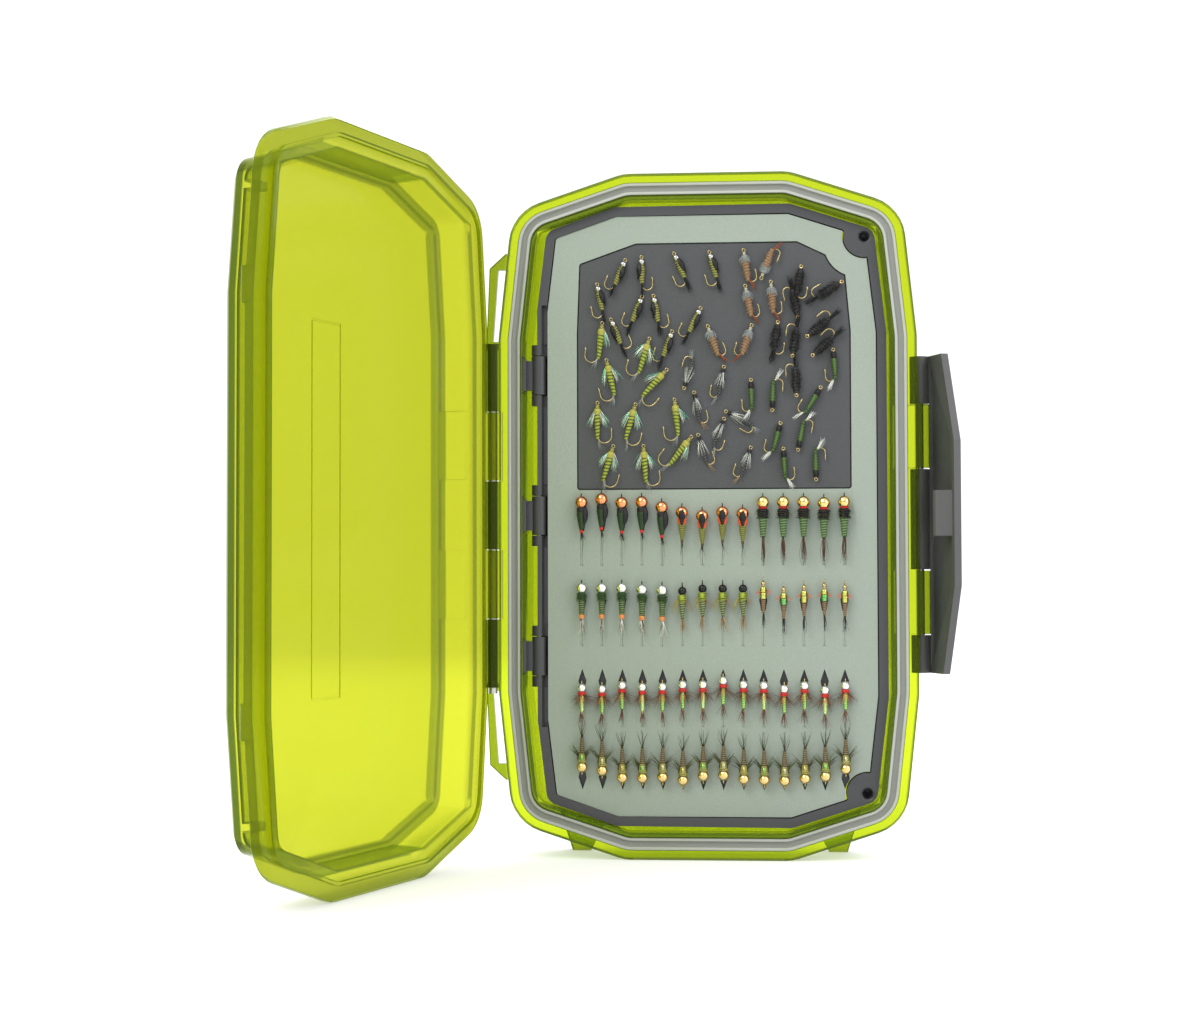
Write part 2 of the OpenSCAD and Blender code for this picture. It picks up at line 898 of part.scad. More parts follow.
silver_bead_flies = [
    [-21.9, 68.2, -23, -1], [-17.3, 68.9, 1, 1], [-8.3, 69.8, 23, -1], [1.1, 70, 15, -1],
    [-29.2, 61.7, 11, -1], [-17.4, 58.2, -22, -1], [-14, 58.4, 10, 1], [-25.4, 52.2, 22, 1],
    [-1.7, 55, -26, -1], [-9.3, 48.8, -20, -1]
];
ribbed_olive_flies = [
    [-28, 51.2, -6, -1], [-15.4, 46.9, -17, -1], [-26.7, 41.2, 13, -1], [-11, 38.6, -43, 1],
    [-29.3, 29.7, 0, 1], [-19.2, 29.2, -16, 1], [-8.5, 30.4, 6, -1], [-25.2, 18, -17, 1],
    [-16.9, 18, 4, 1], [-4.4, 20.5, -38, -1]
];
tan_flies = [
    [10.2, 70.4, 8, 1], [15, 63.8, 159, -1], [10.6, 60.8, 11, 1], [17.4, 61.8, 4, 1],
    [12, 50.2, -18, -1], [0.6, 50.1, 19, 1]
];
black_flies = [
    [25.4, 65.8, -10, 1], [24.4, 53.2, -169, 1], [35.8, 61.8, -58, -1], [19.1, 50.9, -9, 1],
    [23.1, 42.9, 171, 1], [28.8, 42.8, 132, 1], [27.4, 47.9, 128, 1], [24, 32.3, -178, 1]
];
green_midges = [
    [33.9, 43.4, 4, -1], [11.9, 35.5, 2, -1], [17.6, 28.4, 178, -1], [30.2, 33.4, -31, -1],
    [19.6, 23.9, -15, -1], [24.5, 17.7, 169, -1], [20.5, 17, 3, 1], [29.1, 9.8, 181, -1]
];
dark_midges = [
    [-5.8, 34.5, 162, 1], [-3.2, 32.3, 10, 1], [4.6, 39.1, -11, -1], [-2.1, 20.9, 16, 1],
    [5.7, 27.4, 62, -1], [11.6, 17.4, -19, -1], [4.5, 25.2, -22, 1]
];

// Dressed fly lying on its side: eye, wound body, bend and point as one piece
module pad_fly(length, girth, gap, bead) {
    head = bead > 0 ? [[wire_r, 0.1], [bead, 0.5], [bead, 1.3], [0.5 * girth, 1.7]] : [[0.5 * girth, 1]];
    translate([0, 0.55, 0])
        hook_eye();
    rotate([90, 0, 0])
        rotate_extrude($fn = small_fn)
            polygon(concat(
                [[0, -0.2], [wire_r, -0.2]],
                head,
                [
                    [girth, length * 0.32], [0.8 * girth, length * 0.55], [wire_r, length - 0.3],
                    [wire_r, length], [0, length]
                ]
            ));
    translate([0, -length, 0])
        hook_bend(gap, 2.4);
}

module scattered(flies, length, girth, gap, bead) {
    for (f = flies)
        translate([f[0], f[1], pad_surface + max(girth, bead) + 0.05])
            rotate([0, 0, f[2]])
                rotate([0, f[3] < 0 ? 180 : 0, 0])
                    pad_fly(length, girth, gap, bead);
}

module pad_flies_silver_bead() { color("darkolivegreen") scattered(silver_bead_flies, pad_fly_len, 0.85, 2.8, 0.85); }
module pad_flies_ribbed_olive() { color("olive") scattered(ribbed_olive_flies, 1.2 * pad_fly_len, 0.95, 3.8, 0); }
module pad_flies_tan() { color("tan") scattered(tan_flies, pad_fly_len, 0.95, 2.4, 0); }
module pad_flies_black() { color("dimgray") scattered(black_flies, 0.94 * pad_fly_len, 1.05, 2.6, 0); }
module pad_flies_green_midge() { color("olivedrab") scattered(green_midges, 0.94 * pad_fly_len, 0.9, 2.6, 0); }
module pad_flies_dark_midge() { color("darkslategray") scattered(dark_midges, 0.97 * pad_fly_len, 0.75, 2.4, 0); }

stood_up() case_body();
stood_up() case_lid();
stood_up() rim_gasket();
stood_up() hinge_pin();
stood_up() latch();
stood_up() latch_pin();
stood_up() leaf_frame();
stood_up() leaf_front_foam();
stood_up() leaf_back_foam();
stood_up() leaf_core_plate();
stood_up() magnetic_pad();
stood_up() leaf_clip_top();
stood_up() leaf_clip_middle();
stood_up() leaf_clip_bottom();
stood_up() leaf_hinge_pins();
stood_up() row_1_hooks();
stood_up() row_1_beads();
stood_up() row_1_bodies();
stood_up() row_2_hooks();
stood_up() row_2_beads();
stood_up() row_2_bodies();
stood_up() row_3_hooks();
stood_up() row_3_beads();
stood_up() row_3_bodies();
stood_up() row_4_hooks();
stood_up() row_4_beads();
stood_up() row_4_bodies();
stood_up() pad_flies_silver_bead();
stood_up() pad_flies_ribbed_olive();
stood_up() pad_flies_tan();
stood_up() pad_flies_black();
stood_up() pad_flies_green_midge();
stood_up() pad_flies_dark_midge();
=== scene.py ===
"""Looks of a slim fly box that stands open on its short end: clear lime shells, a silicone
seal, a foam leaf and its rows of dressed flies."""

import math

import bmesh
import bpy
import numpy as np
from mathutils import Matrix


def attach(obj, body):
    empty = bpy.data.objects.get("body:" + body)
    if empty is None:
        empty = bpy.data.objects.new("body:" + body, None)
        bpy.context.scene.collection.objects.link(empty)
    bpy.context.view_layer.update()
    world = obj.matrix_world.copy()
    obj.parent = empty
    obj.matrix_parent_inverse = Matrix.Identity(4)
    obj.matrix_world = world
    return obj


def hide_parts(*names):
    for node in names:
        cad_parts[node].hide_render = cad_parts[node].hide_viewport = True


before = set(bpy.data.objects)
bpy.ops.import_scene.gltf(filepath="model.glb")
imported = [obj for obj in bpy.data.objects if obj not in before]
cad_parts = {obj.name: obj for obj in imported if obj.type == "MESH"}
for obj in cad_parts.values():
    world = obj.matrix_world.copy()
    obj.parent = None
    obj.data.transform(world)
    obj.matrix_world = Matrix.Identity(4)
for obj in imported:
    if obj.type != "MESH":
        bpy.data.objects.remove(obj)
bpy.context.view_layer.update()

TAU = 2 * math.pi
MM = 0.001
EDGE_ANGLE = 28  # degrees past which an edge is rounded

# ---- Places, in the flat frame of the case: x across, y along it, z towards the lid ----

HALF_LEN, HALF_WIDTH, FLANGE_MID = 92.0, 56.0, 3.0
HINGE_X, LID_ANGLE = -57.5, 110.0
CORNER_LINE = 0.3124, 0.9499, 94.33  # across, along and reach of the outline's corner line
FOAM_TOP, PAD_SURFACE = -2.0, -2.3
FLY_PITCH, ROW_MID_X, ROW_FLIES = 5.39, 1.45, 14
ROW_TIPS = 2.0, -19.6, -41.2, -73.5
WIRE_R, BEAD_R, EYE_R = 0.2, 1.7, 0.42
FLY_GAP = 0.05  # between a fly and what it lies on
BOSS_AT = 42.3, 74.3

# The same parts in the standing box, in metres: heights, depths and distances across
FEET_ABOVE, FEET_DEPTHS, FEET_ACROSS = 0.1805, (0.0155, 0.0205), 0.024
LEAF_CORNER_LEFT, LEAF_CORNER_FROM_MIDDLE = -0.0235, 0.072


def standing(points):
    """Flat-frame millimetres to the standing box in metres: (x, y, z) goes to (x, -z - 3, y + 92)."""
    p = np.asarray(points, float)
    return np.stack([p[..., 0], -p[..., 2] - FLANGE_MID, p[..., 1] + HALF_LEN], -1) * MM


def column(i):
    """Middle of the slot and fly number i of each row."""
    return ROW_MID_X + (i - (ROW_FLIES - 1) / 2) * FLY_PITCH


def linked(name, data):
    """New object of this data, in the scene."""
    item = bpy.data.objects.new(name, data)
    bpy.context.scene.collection.objects.link(item)
    return item


def toned(colour, share):
    """The colour made lighter or darker by a share."""
    return tuple(c * share for c in colour)


# ---- Shader maths ----


class Val:
    """A shader socket that Python's operators join with Math nodes."""

    def __init__(self, finish, socket):
        self.finish, self.socket = finish, socket

    def math(self, operation, a, b=0.5, **settings):
        return self.finish.node("Math", {"operation": operation, **settings}, {0: a, 1: b})

    def __add__(self, other):
        return self.math("ADD", self, other)

    def __sub__(self, other):
        return self.math("SUBTRACT", self, other)

    def __rsub__(self, other):
        return self.math("SUBTRACT", other, self)

    def __mul__(self, other):
        return self.math("MULTIPLY", self, other)

    def __pow__(self, other):
        return self.math("POWER", self, other)

    __radd__, __rmul__ = __add__, __mul__

    def clamped(self):
        return self.math("MULTIPLY", self, 1.0, use_clamp=True)

    def largest(self, *others):
        for other in others:
            self = self.math("MAXIMUM", self, other)
        return self


class Finish:
    """One material: node() adds any node, put() feeds the shader's sockets."""

    def __init__(self, name, **sockets):
        self.material = bpy.data.materials.new(name)
        self.material.use_nodes = True
        self.tree = self.material.node_tree
        self.shader = self.tree.nodes["Principled BSDF"]
        self.out = self.tree.nodes["Material Output"]
        self.put(**sockets)

    def link(self, value, socket):
        if isinstance(value, Val):
            self.tree.links.new(value.socket, socket)
        else:
            is_colour = isinstance(value, tuple) and len(value) == 3 and socket.type == "RGBA"
            socket.default_value = (*value, 1) if is_colour else value

    def node(self, kind, settings=None, sockets=None, out=0):
        n = self.tree.nodes.new("ShaderNode" + kind)
        for key, value in (settings or {}).items():
            if key == "stops":
                while len(n.color_ramp.elements) < len(value):
                    n.color_ramp.elements.new(0.5)
                for element, (place, colour) in zip(n.color_ramp.elements, value):
                    element.position, element.color = place, (*colour, 1)
            else:
                setattr(n, key, value)
        for key, value in (sockets or {}).items():
            self.link(value, n.inputs[key])
        return Val(self, n.outputs[out])

    def put(self, **sockets):
        for key, value in sockets.items():
            self.link(value, self.shader.inputs[key.replace("_", " ").title().replace("Ior", "IOR")])
        return self

    def place(self, scale=(1, 1, 1)):
        here = self.node("TexCoord", out="Object")
        return self.node("Mapping", None, {"Vector": here, "Scale": scale})

    def noise(self, scale, detail=3.0, rough=0.5, where=None):
        sockets = {"Vector": where or self.place(), "Scale": scale, "Detail": detail, "Roughness": rough}
        return self.node("TexNoise", None, sockets)

    def cells(self, scale, feature="F1"):
        return self.node("TexVoronoi", {"feature": feature}, {"Vector": self.place(), "Scale": scale}, out="Distance")

    def mix(self, factor, a, b):
        return self.node("Mix", {"data_type": "RGBA"}, {0: factor, 6: a, 7: b}, out=2)

    def ramp(self, value, *stops):
        return self.node("ValToRGB", {"stops": stops}, {0: value})

    def bump(self, height, depth, strength=1.0):
        return self.put(normal=self.node("Bump", None, {"Height": height, "Distance": depth, "Strength": strength}))

    def attribute(self, name, out="Color"):
        return self.node("Attribute", {"attribute_name": name}, None, out=out)


def rim_place(f, angle=0.0):
    """Inset from the case's outline, x and height over the rim, in mm, in the shut box.

    Object coordinates are turned back about the hinge by the angle at which the lid stands open.
    In each quarter the outline is the nearest of four lines: side, slant, corner and end."""
    here = f.node("TexCoord", out="Object")
    x, away, up = (1000 * f.node("SeparateXYZ", None, {0: here}, out=axis) for axis in "XYZ")
    z, c, s = -FLANGE_MID - away, math.cos(math.radians(angle)), math.sin(math.radians(angle))
    x, z = c * (x - HINGE_X) + s * z + HINGE_X, c * z - s * (x - HINGE_X)
    ax, ay = x.math("ABSOLUTE", x), x.math("ABSOLUTE", up - HALF_LEN)
    slant = 0.9943 * ax + 0.1069 * ay - 60.78
    corner = CORNER_LINE[0] * ax + CORNER_LINE[1] * ay - CORNER_LINE[2]
    return 0.0 - (ax - HALF_WIDTH).largest(slant, corner, ay - HALF_LEN), x, z


def lid_painted_shade(f):
    """Painted shade on the lid, for the dark lines refraction draws in its clear plastic: the corner round its floor,
    then its flange and the edge of its rim, fainter.
    """
    inset, x, z = rim_place(f, LID_ANGLE)
    free = (0.2 * (x - 36)).clamped()
    corner = (0.62 + 0.34 * free) * ((2 * (z + 1.3 * free - 10.2)).clamped() * (1.5 * (9.2 - inset)).clamped())
    flange = 0.2 * ((5.4 - inset).clamped() * (2 * (4.4 - z)).clamped())
    lip = 0.55 * ((3 * (inset - 6.9)).clamped() * (3 * (7.8 - inset)).clamped() * (2 * (1.6 - z)).clamped())
    return corner.largest(flange, lip), 1.0


def body_painted_shade(f):
    """Painted shade on the body, for the dark lines refraction draws in its clear plastic: its outer edge, the wall
    inside the seal, and what stands outside the outline.
    """
    inset, _, z = rim_place(f)
    front = (z + 1.6).clamped()
    edge = 0.75 * ((2 * (1.0 - inset)).clamped() * front)
    wall = 0.88 * ((4 * (inset - 5.7)).clamped() * (4 * (7.7 - inset)).clamped() * (z + 5).clamped())
    below = (inset - 6.4).clamped() * (0.0 - z - 3).clamped()
    return edge.largest(wall, 0.35 * (0.0 - inset).clamped()), 1 - 0.85 * below


def clear_lime(name, tint, deep, body, skin=0.1, painted_shade=None):
    """Clear coloured plastic: light passes tinted, deeper where the wall is seen at a slant, under a glossy skin. The
    slant deepening is partly the longer path through the tinted plastic and partly painted shade for the dark edges
    that refraction draws in clear plastic.

    The bands give painted shade, a dark tint whichever way it's seen, on the edges and corners where refraction draws
    dark lines, and where the slant tells less."""
    f = Finish(name, ior=1.5, coat_weight=0.3, coat_roughness=0.05)
    cloud = f.noise(28, 2)
    f.put(base_color=f.mix(cloud, toned(body, 0.85), body))
    f.put(roughness=0.1 + 0.1 * f.noise(300, 3, 0.6))
    f.bump(f.noise(160, 3, 0.5), 0.00004, 0.2)
    slant = f.node("LayerWeight", None, {"Blend": 0.5}, out="Facing")
    # painted shade: a mask of where a dark tint stands in for the dark lines refraction draws in clear plastic
    dark, share = painted_shade(f) if painted_shade else (0.0, 1.0)
    # deeper tint at a slant: partly the longer path through the plastic, partly painted shade for refraction's dark
    # edges
    depth = (2.6 * (slant - 0.52)).clamped() * share
    # the third tint is the dark tint of the painted shade
    colours = tint, deep, (0.075, 0.13, 0.06)
    thin, thick, core = (f.node("BsdfTransparent", None, {"Color": c}, out=0) for c in colours)
    through = f.node("MixShader", None, {0: depth, 1: thin, 2: thick})
    through = f.node("MixShader", None, {0: dark, 1: through, 2: core})
    share = (skin + 0.75 * slant**3).clamped()
    both = f.node("MixShader", None, {0: share, 1: through, 2: Val(f, f.shader.outputs[0])})
    f.tree.links.new(both.socket, f.out.inputs["Surface"])
    return f.material


def moulded(name, colour, rough=0.42):
    """Satin moulded plastic with a fine grain and faint clouding."""
    f = Finish(name, ior=1.5)
    f.put(base_color=f.mix(f.noise(60, 3), toned(colour, 0.86), toned(colour, 1.12)))
    f.put(roughness=(rough - 0.06) + 0.12 * f.noise(300, 4))
    f.bump(f.noise(1600, 3, 0.6), 0.00003, 0.5)
    return f.material


def silicone(name, colour):
    """Matte silicone, slightly dusty, with painted shade darkening its groove: depth is read from the object's own Y.
    """
    f = Finish(name, specular_ior_level=0.4, subsurface_weight=0.08, subsurface_radius=(0.002, 0.002, 0.002))
    cloud = f.mix(f.noise(90, 4), toned(colour, 0.92), toned(colour, 1.08))
    deep = f.node("SeparateXYZ", None, {0: f.place()}, out="Y")
    # painted shade: the colour darkens to two thirds down in the groove, past -2.7 mm along the object's Y
    f.put(base_color=f.mix(((deep + 0.0027) * 1600).clamped(), cloud, toned(colour, 0.66)))
    f.put(roughness=0.48 + 0.16 * f.noise(500, 3))
    f.bump(f.noise(2200, 2), 0.00002, 0.4)
    return f.material


def cell_foam(name, colour):
    """Closed-cell foam: pinprick cells in the skin, their pits darkened as painted shade, and slow clouding below it.
    """
    f = Finish(name, specular_ior_level=0.25)
    pores = f.cells(2600)
    cloud = f.noise(55, 4)
    shade = f.mix(cloud, toned(colour, 0.93), toned(colour, 1.05))
    # painted shade: the cell pits are darkened to 0.82 of the foam's colour
    f.put(base_color=f.mix((pores * 0.5).clamped(), toned(colour, 0.82), shade))
    f.put(roughness=0.78 + 0.15 * cloud)
    f.bump(pores + 0.5 * f.noise(900, 3), 0.00006, 0.55)
    return f.material


def flexible_magnet(name, colour):
    """Rubbery magnet sheet: a dull dark skin with mineral specks and rolling marks."""
    f = Finish(name, specular_ior_level=0.35)
    specks = f.ramp(f.noise(5200, 2), (0.55, (0, 0, 0)), (0.72, (1, 1, 1)))
    lines = f.noise(160, 4, 0.6, f.place((1, 1, 0.12)))
    rolled = f.mix(lines, toned(colour, 0.88), toned(colour, 1.1))
    f.put(base_color=f.mix((specks * 0.35).clamped(), rolled, toned(colour, 2.1)))
    f.put(roughness=0.55 + 0.2 * lines)
    f.bump(specks + lines, 0.00004, 0.4)
    return f.material


def drawn_steel(name, colour=(0.56, 0.56, 0.54)):
    """Drawn steel rod, with fine lines along it and a dull film."""
    f = Finish(name, metallic=1.0)
    lines = f.noise(900, 4, 0.7, f.place((1, 1, 0.05)))
    f.put(base_color=f.mix(lines, toned(colour, 0.7), colour))
    f.put(roughness=0.2 + 0.25 * lines)
    f.bump(lines, 0.00002, 0.4)
    return f.material


def dressing(name):
    """Threads, fibres, beads and wire: colour, metal and roughness come from the piece's own attributes."""
    f = Finish(name, sheen_weight=0.04, sheen_roughness=0.4, specular_ior_level=0.3)
    tint = f.attribute("tint")
    speck = f.noise(4200, 3, 0.6)
    f.put(base_color=f.mix(speck * 0.5, tint, f.mix(speck, tint, (0.01, 0.009, 0.007))))
    f.put(metallic=f.attribute("metal", "Fac"))
    f.put(roughness=f.attribute("rough", "Fac"))
    f.bump(speck, 0.00002, 0.3)
    return f.material


# ---- Mesh making ----


def grid_faces(rows, cols, wrap=True):
    """Quads of a grid of rows by cols points, closed round the columns if wrap."""
    i = np.arange(rows - 1)[:, None] * cols
    j = np.arange(cols if wrap else cols - 1)[None]
    k = (j + 1) % cols
    return np.stack([i + j, i + k, i + cols + k, i + cols + j], -1).reshape(-1, 4)


class Batch:
    """Surfaces gathered into one piece, each with its colour, metal and roughness."""

    def __init__(self):
        self.points, self.faces, self.looks, self.count = [], [], [], 0

    def add(self, points, faces, tint, metal=0.0, rough=0.6):
        points = np.asarray(points, float).reshape(-1, 3)
        look = np.empty((len(points), 5))
        look[:, :3], look[:, 3], look[:, 4] = tint, metal, rough
        self.points.append(points)
        self.looks.append(look)
        self.faces += [np.asarray(f) + self.count for f in faces]
        self.count += len(points)

    def make(self, name, material, body, slot, nodes=()):
        """Puts the gathered surfaces into a mesh object that rides on a body."""
        points = standing(np.concatenate(self.points))
        mesh = bpy.data.meshes.new(name)
        corners = np.concatenate([f.ravel() for f in self.faces]).astype(np.int32)
        sizes = np.concatenate([np.full(len(f), f.shape[1]) for f in self.faces])
        starts = np.concatenate([[0], np.cumsum(sizes)[:-1]]).astype(np.int32)
        mesh.vertices.add(len(points))
        mesh.vertices.foreach_set("co", points.astype(np.float32).ravel())
        mesh.loops.add(len(corners))
        mesh.loops.foreach_set("vertex_index", corners)
        mesh.polygons.add(len(starts))
        mesh.polygons.foreach_set("loop_start", starts)
        mesh.update(calc_edges=True)
        mesh.validate()
        mesh.shade_smooth()
        look = np.concatenate(self.looks)
        tint = mesh.color_attributes.new("tint", "FLOAT_COLOR", "POINT")
        tint.data.foreach_set("color", np.column_stack([look[:, :3], np.ones(len(look))]).astype(np.float32).ravel())
        for key, column in (("metal", 3), ("rough", 4)):
            held = mesh.attributes.new(key, "FLOAT", "POINT")
            held.data.foreach_set("value", look[:, column].astype(np.float32).copy())
        return settle(name, mesh, material, body, nodes)


def settle(name, mesh, material, body, nodes=()):
    """Links a mesh as a piece on a body, in place of the solids it stands for."""
    piece = linked(name, mesh)
    mesh.materials.clear()
    mesh.materials.append(material)
    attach(piece, body)
    if nodes:
        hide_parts(*nodes)
    return piece


def softened(node, material, body, width, edging=None, merged=True, reshape=None):
    """Copy of a rigid solid, its triangles merged and its edges rounded by width millimetres.

    The rounding has its own finish if edging is given, and reshape moves the copy's vertices."""
    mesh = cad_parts[node].data.copy()
    work = bmesh.new()
    work.from_mesh(mesh)
    bmesh.ops.remove_doubles(work, verts=work.verts, dist=2e-7)
    if merged:
        bmesh.ops.dissolve_limit(work, angle_limit=math.radians(0.1), verts=work.verts, edges=work.edges)
    work.to_mesh(mesh)
    work.free()
    if reshape:
        places = np.empty(3 * len(mesh.vertices), np.float32)
        mesh.vertices.foreach_get("co", places)
        mesh.vertices.foreach_set("co", reshape(places.reshape(-1, 3)).ravel())
    mesh.shade_smooth()
    mesh.set_sharp_from_angle(angle=math.radians(EDGE_ANGLE + 4))
    piece = settle(node + "_softened", mesh, material, body, (node,))
    edge = piece.modifiers.new("rounded edges", "BEVEL")
    edge.width, edge.segments, edge.limit_method = width * MM, 2, "ANGLE"
    edge.angle_limit, edge.harden_normals = math.radians(EDGE_ANGLE), True
    if edging:
        mesh.materials.append(edging)
        edge.material = 1
    return piece


# ---- Fly dressing: each fly lies along -y from its bead at the origin, z away from the foam ----

rng = np.random.default_rng(7)
STRAND_RINGS, STRAND_SIDES = 5, 3


def swept(path, radii, across, sides=8):
    """Tube round a plane path: each ring lies in the plane of its normal and of across, the plane's own normal."""
    path = np.asarray(path, float)
    along = np.gradient(path, axis=0)
    along /= np.linalg.norm(along, axis=1, keepdims=True)
    normal = np.cross(along, across)
    a = np.arange(sides) * TAU / sides
    r = np.broadcast_to(radii, len(path))[:, None, None]
    ring = np.cos(a)[None, :, None] * normal[:, None] + np.sin(a)[None, :, None] * np.asarray(across, float)
    points = path[:, None] + r * ring
    first, last = np.arange(sides)[None], (len(path) - 1) * sides + np.arange(sides)[None, ::-1]
    return points.reshape(-1, 3), [grid_faces(len(path), sides)[:, ::-1], first, last]


def turned(stations, radii, sides=14):
    """Surface of revolution about y through falling stations, the radii by row or by row and side."""
    a = np.arange(sides) * TAU / sides
    r = np.asarray(radii, float)
    r = r if r.ndim == 2 else np.repeat(r[:, None], sides, 1)
    y = np.repeat(np.asarray(stations, float)[:, None], sides, 1)
    points = np.stack([r * np.cos(a), y, r * np.sin(a)], -1).reshape(-1, 3)
    rows = len(r)
    return points, [grid_faces(rows, sides), np.arange(sides)[None, ::-1], (rows - 1) * sides + np.arange(sides)[None]]


def strands(roots, tips, sag, radius):
    """Tapered fibres: each runs from root to tip along a parabola that bows by sag at its middle."""
    rings, sides = STRAND_RINGS, STRAND_SIDES
    t = np.linspace(0, 1, rings)[None, :, None]
    path = roots[:, None] * (1 - t) + tips[:, None] * t + 4 * t * (1 - t) * sag[:, None]
    along = np.gradient(path, axis=1)
    along /= np.linalg.norm(along, axis=2, keepdims=True) + 1e-9
    side = np.cross(along, [0.31, 0.17, 0.93])
    side /= np.linalg.norm(side, axis=2, keepdims=True) + 1e-9
    lift = np.cross(along, side)
    a = np.arange(sides) * TAU / sides
    r = radius * (1 - 0.75 * t[..., None])
    points = path[:, :, None] + r * (np.cos(a)[:, None] * side[:, :, None] + np.sin(a)[:, None] * lift[:, :, None])
    base = (np.arange(len(roots)) * rings * sides)[:, None, None]
    quads = (base + grid_faces(rings, sides)[None, :, ::-1]).reshape(-1, 4)
    first = (base[:, 0] + np.arange(sides)[None]).reshape(-1, sides)
    last = (base[:, 0] + (rings - 1) * sides + np.arange(sides)[None, ::-1]).reshape(-1, sides)
    return points.reshape(-1, 3), [quads, first, last]


def bent(points, length, radius):
    """Bends what lies beyond -length round an arc of this radius towards +x, as a hook's bend goes."""
    points = points.copy()
    beyond = np.maximum(-points[:, 1] - length, 0) / radius
    reach = radius - points[:, 0]
    points[:, 0] = np.where(beyond > 0, radius - reach * np.cos(beyond), points[:, 0])
    points[:, 1] = np.where(beyond > 0, -length - reach * np.sin(beyond), points[:, 1])
    return points


class Fly:
    """Places one fly's surfaces: turned about z, flipped if its hook bends the other way."""

    def __init__(self, x, y, z, turn=0.0, side=1, low=-9.0, bend=None):
        a = math.radians(turn)
        self.turn = np.array([[math.cos(a), math.sin(a), 0], [-math.sin(a), math.cos(a), 0], [0, 0, 1]])
        self.flip, self.at = np.array([side, 1, 1.0]), np.array([x, y, z])
        self.side, self.low, self.bend = side, low, bend

    def put(self, batch, surface, tint, metal=0.0, rough=0.6):
        points, faces = surface
        if self.side < 0:
            faces = [f[:, ::-1] for f in faces]
        batch.add((points * self.flip) @ self.turn + self.at, faces, tint, metal, rough)

    def lay(self, batch, points, faces, tint, metal, rough):
        """Puts a surface that bends with the hook and is pressed flat below the fly's lowest height."""
        if self.bend:
            points = bent(points, *self.bend)
        points[:, 2] = np.maximum(points[:, 2], self.low)
        self.put(batch, (points, faces), tint, metal, rough)


def hook(fly, batch, front, length, gap, point, sideways, colour):
    """Hook: a ring at the eye, a straight shank, a half-round bend, then a tapered point with a barb."""
    down = np.array([1.0, 0, 0] if sideways else [0, 0, -1.0])
    ahead, across = np.array([0, 1.0, 0]), (0, 0, 1) if sideways else (1, 0, 0)
    a = np.linspace(0, TAU, 17)[:, None]
    eye = (front + EYE_R - EYE_R * np.cos(a)) * ahead - EYE_R * np.sin(a) * down
    fly.put(batch, swept(eye, 0.16, across, 6), colour, 1.0, 0.25)
    a = np.linspace(0, math.pi, 13)
    bend = np.stack([gap / 2 * (1 - np.cos(a)), -length - gap / 2 * np.sin(a)], 1)
    tip = gap - np.array([[0.01, 0], [0.03, 0], [0.05, 0]])
    tip[:, 1] = -length + point * np.array([0.5, 0.62, 1])
    flat = np.concatenate([[[0, front + 0.1], [0, -length * 0.5]], bend, tip])
    radii = np.full(len(flat), WIRE_R)
    radii[-2:] = [WIRE_R * 1.35, 0.03]
    fly.put(batch, swept(flat[:, :1] * down + flat[:, 1:] * ahead, radii, across, 7), colour, 1.0, 0.25)


def bead(fly, batch, size, colour, metal=1.0, rough=0.14, centre=0.0):
    """Drilled bead: a sphere's arc between the two mouths of its hole, which it rolls into."""
    a = np.linspace(0.2, math.pi - 0.2, 15)
    y = centre + size * np.cos(a)
    r = size * np.sin(a)
    y = np.concatenate([[y[0] - 0.25], y, [y[-1] + 0.25]])
    r = np.concatenate([[0.24], r, [0.24]])
    fly.put(batch, turned(y, r, 22), colour, metal, rough)


def wound(
    fly, batch, start, end, girth, colours, wraps=9, taper=0.45, bulge=0.25, ridge=0.09, metal=0.0, rough=0.5, sharp=3
):
    """Wound body: radius swells to girth at bulge of its length, then tapers, under a helical ridge of wraps turns."""
    rows, sides = int(wraps * 6) + 2, 14
    t = np.linspace(0, 1, rows)[:, None]
    a = (np.arange(sides) / sides)[None]
    swell = 0.72 + 0.28 * np.sin(np.clip(t / bulge, 0, 1) * math.pi / 2)
    shape = np.where(t < bulge, swell, 1 - (1 - taper) * (np.maximum(t - bulge, 0) / (1 - bulge)) ** 1.2)
    wave = 0.5 + 0.5 * np.cos(TAU * (wraps * t - a))
    r = girth * shape * (1 - ridge + 2 * ridge * wave**2)
    r = r * np.where((t < 0.001) | (t > 0.999), 0.35, 1)
    share = np.clip(wave**sharp, 0, 1)[..., None]
    tint = (np.array(colours[0]) * (1 - share) + np.array(colours[1]) * share).reshape(-1, 3)
    tint = tint * (0.85 + 0.3 * rng.random((len(tint), 1)))
    fly.lay(batch, *turned(start + (end - start) * t[:, 0], r, sides), tint, metal, rough)


def back(fly, batch, stations, radii, widths, colour, thick=0.2, roll=0.0, metal=0.0, rough=0.45):
    """Strip laid over a body: at each station it spans a width on the arc of a radius, and is thick at its middle."""
    t = np.linspace(0, 1, 13)
    y, r, w = (np.interp(t, np.linspace(0, 1, len(v)), v)[:, None] for v in (stations, radii, widths))
    u = np.linspace(-1, 1, 11)[None]
    a = u * w / 2 / r + math.radians(roll)
    arch = np.sin(math.pi * np.linspace(0.06, 0.94, 13))[:, None]
    top, under = r + thick * (1 - u**2) * arch + 0.02, r * 0.85 + 0 * a
    skin = [np.stack([q * np.sin(a), y + 0 * a, q * np.cos(a)], -1) for q in (top, under)]
    points = np.concatenate([skin[0], skin[1][:, ::-1]], 1)
    rows, cols = points.shape[:2]
    caps = [np.arange(cols)[None], (rows - 1) * cols + np.arange(cols)[None, ::-1]]
    fly.lay(batch, points.reshape(-1, 3), [grid_faces(rows, cols)[:, ::-1], *caps], colour, metal, rough)


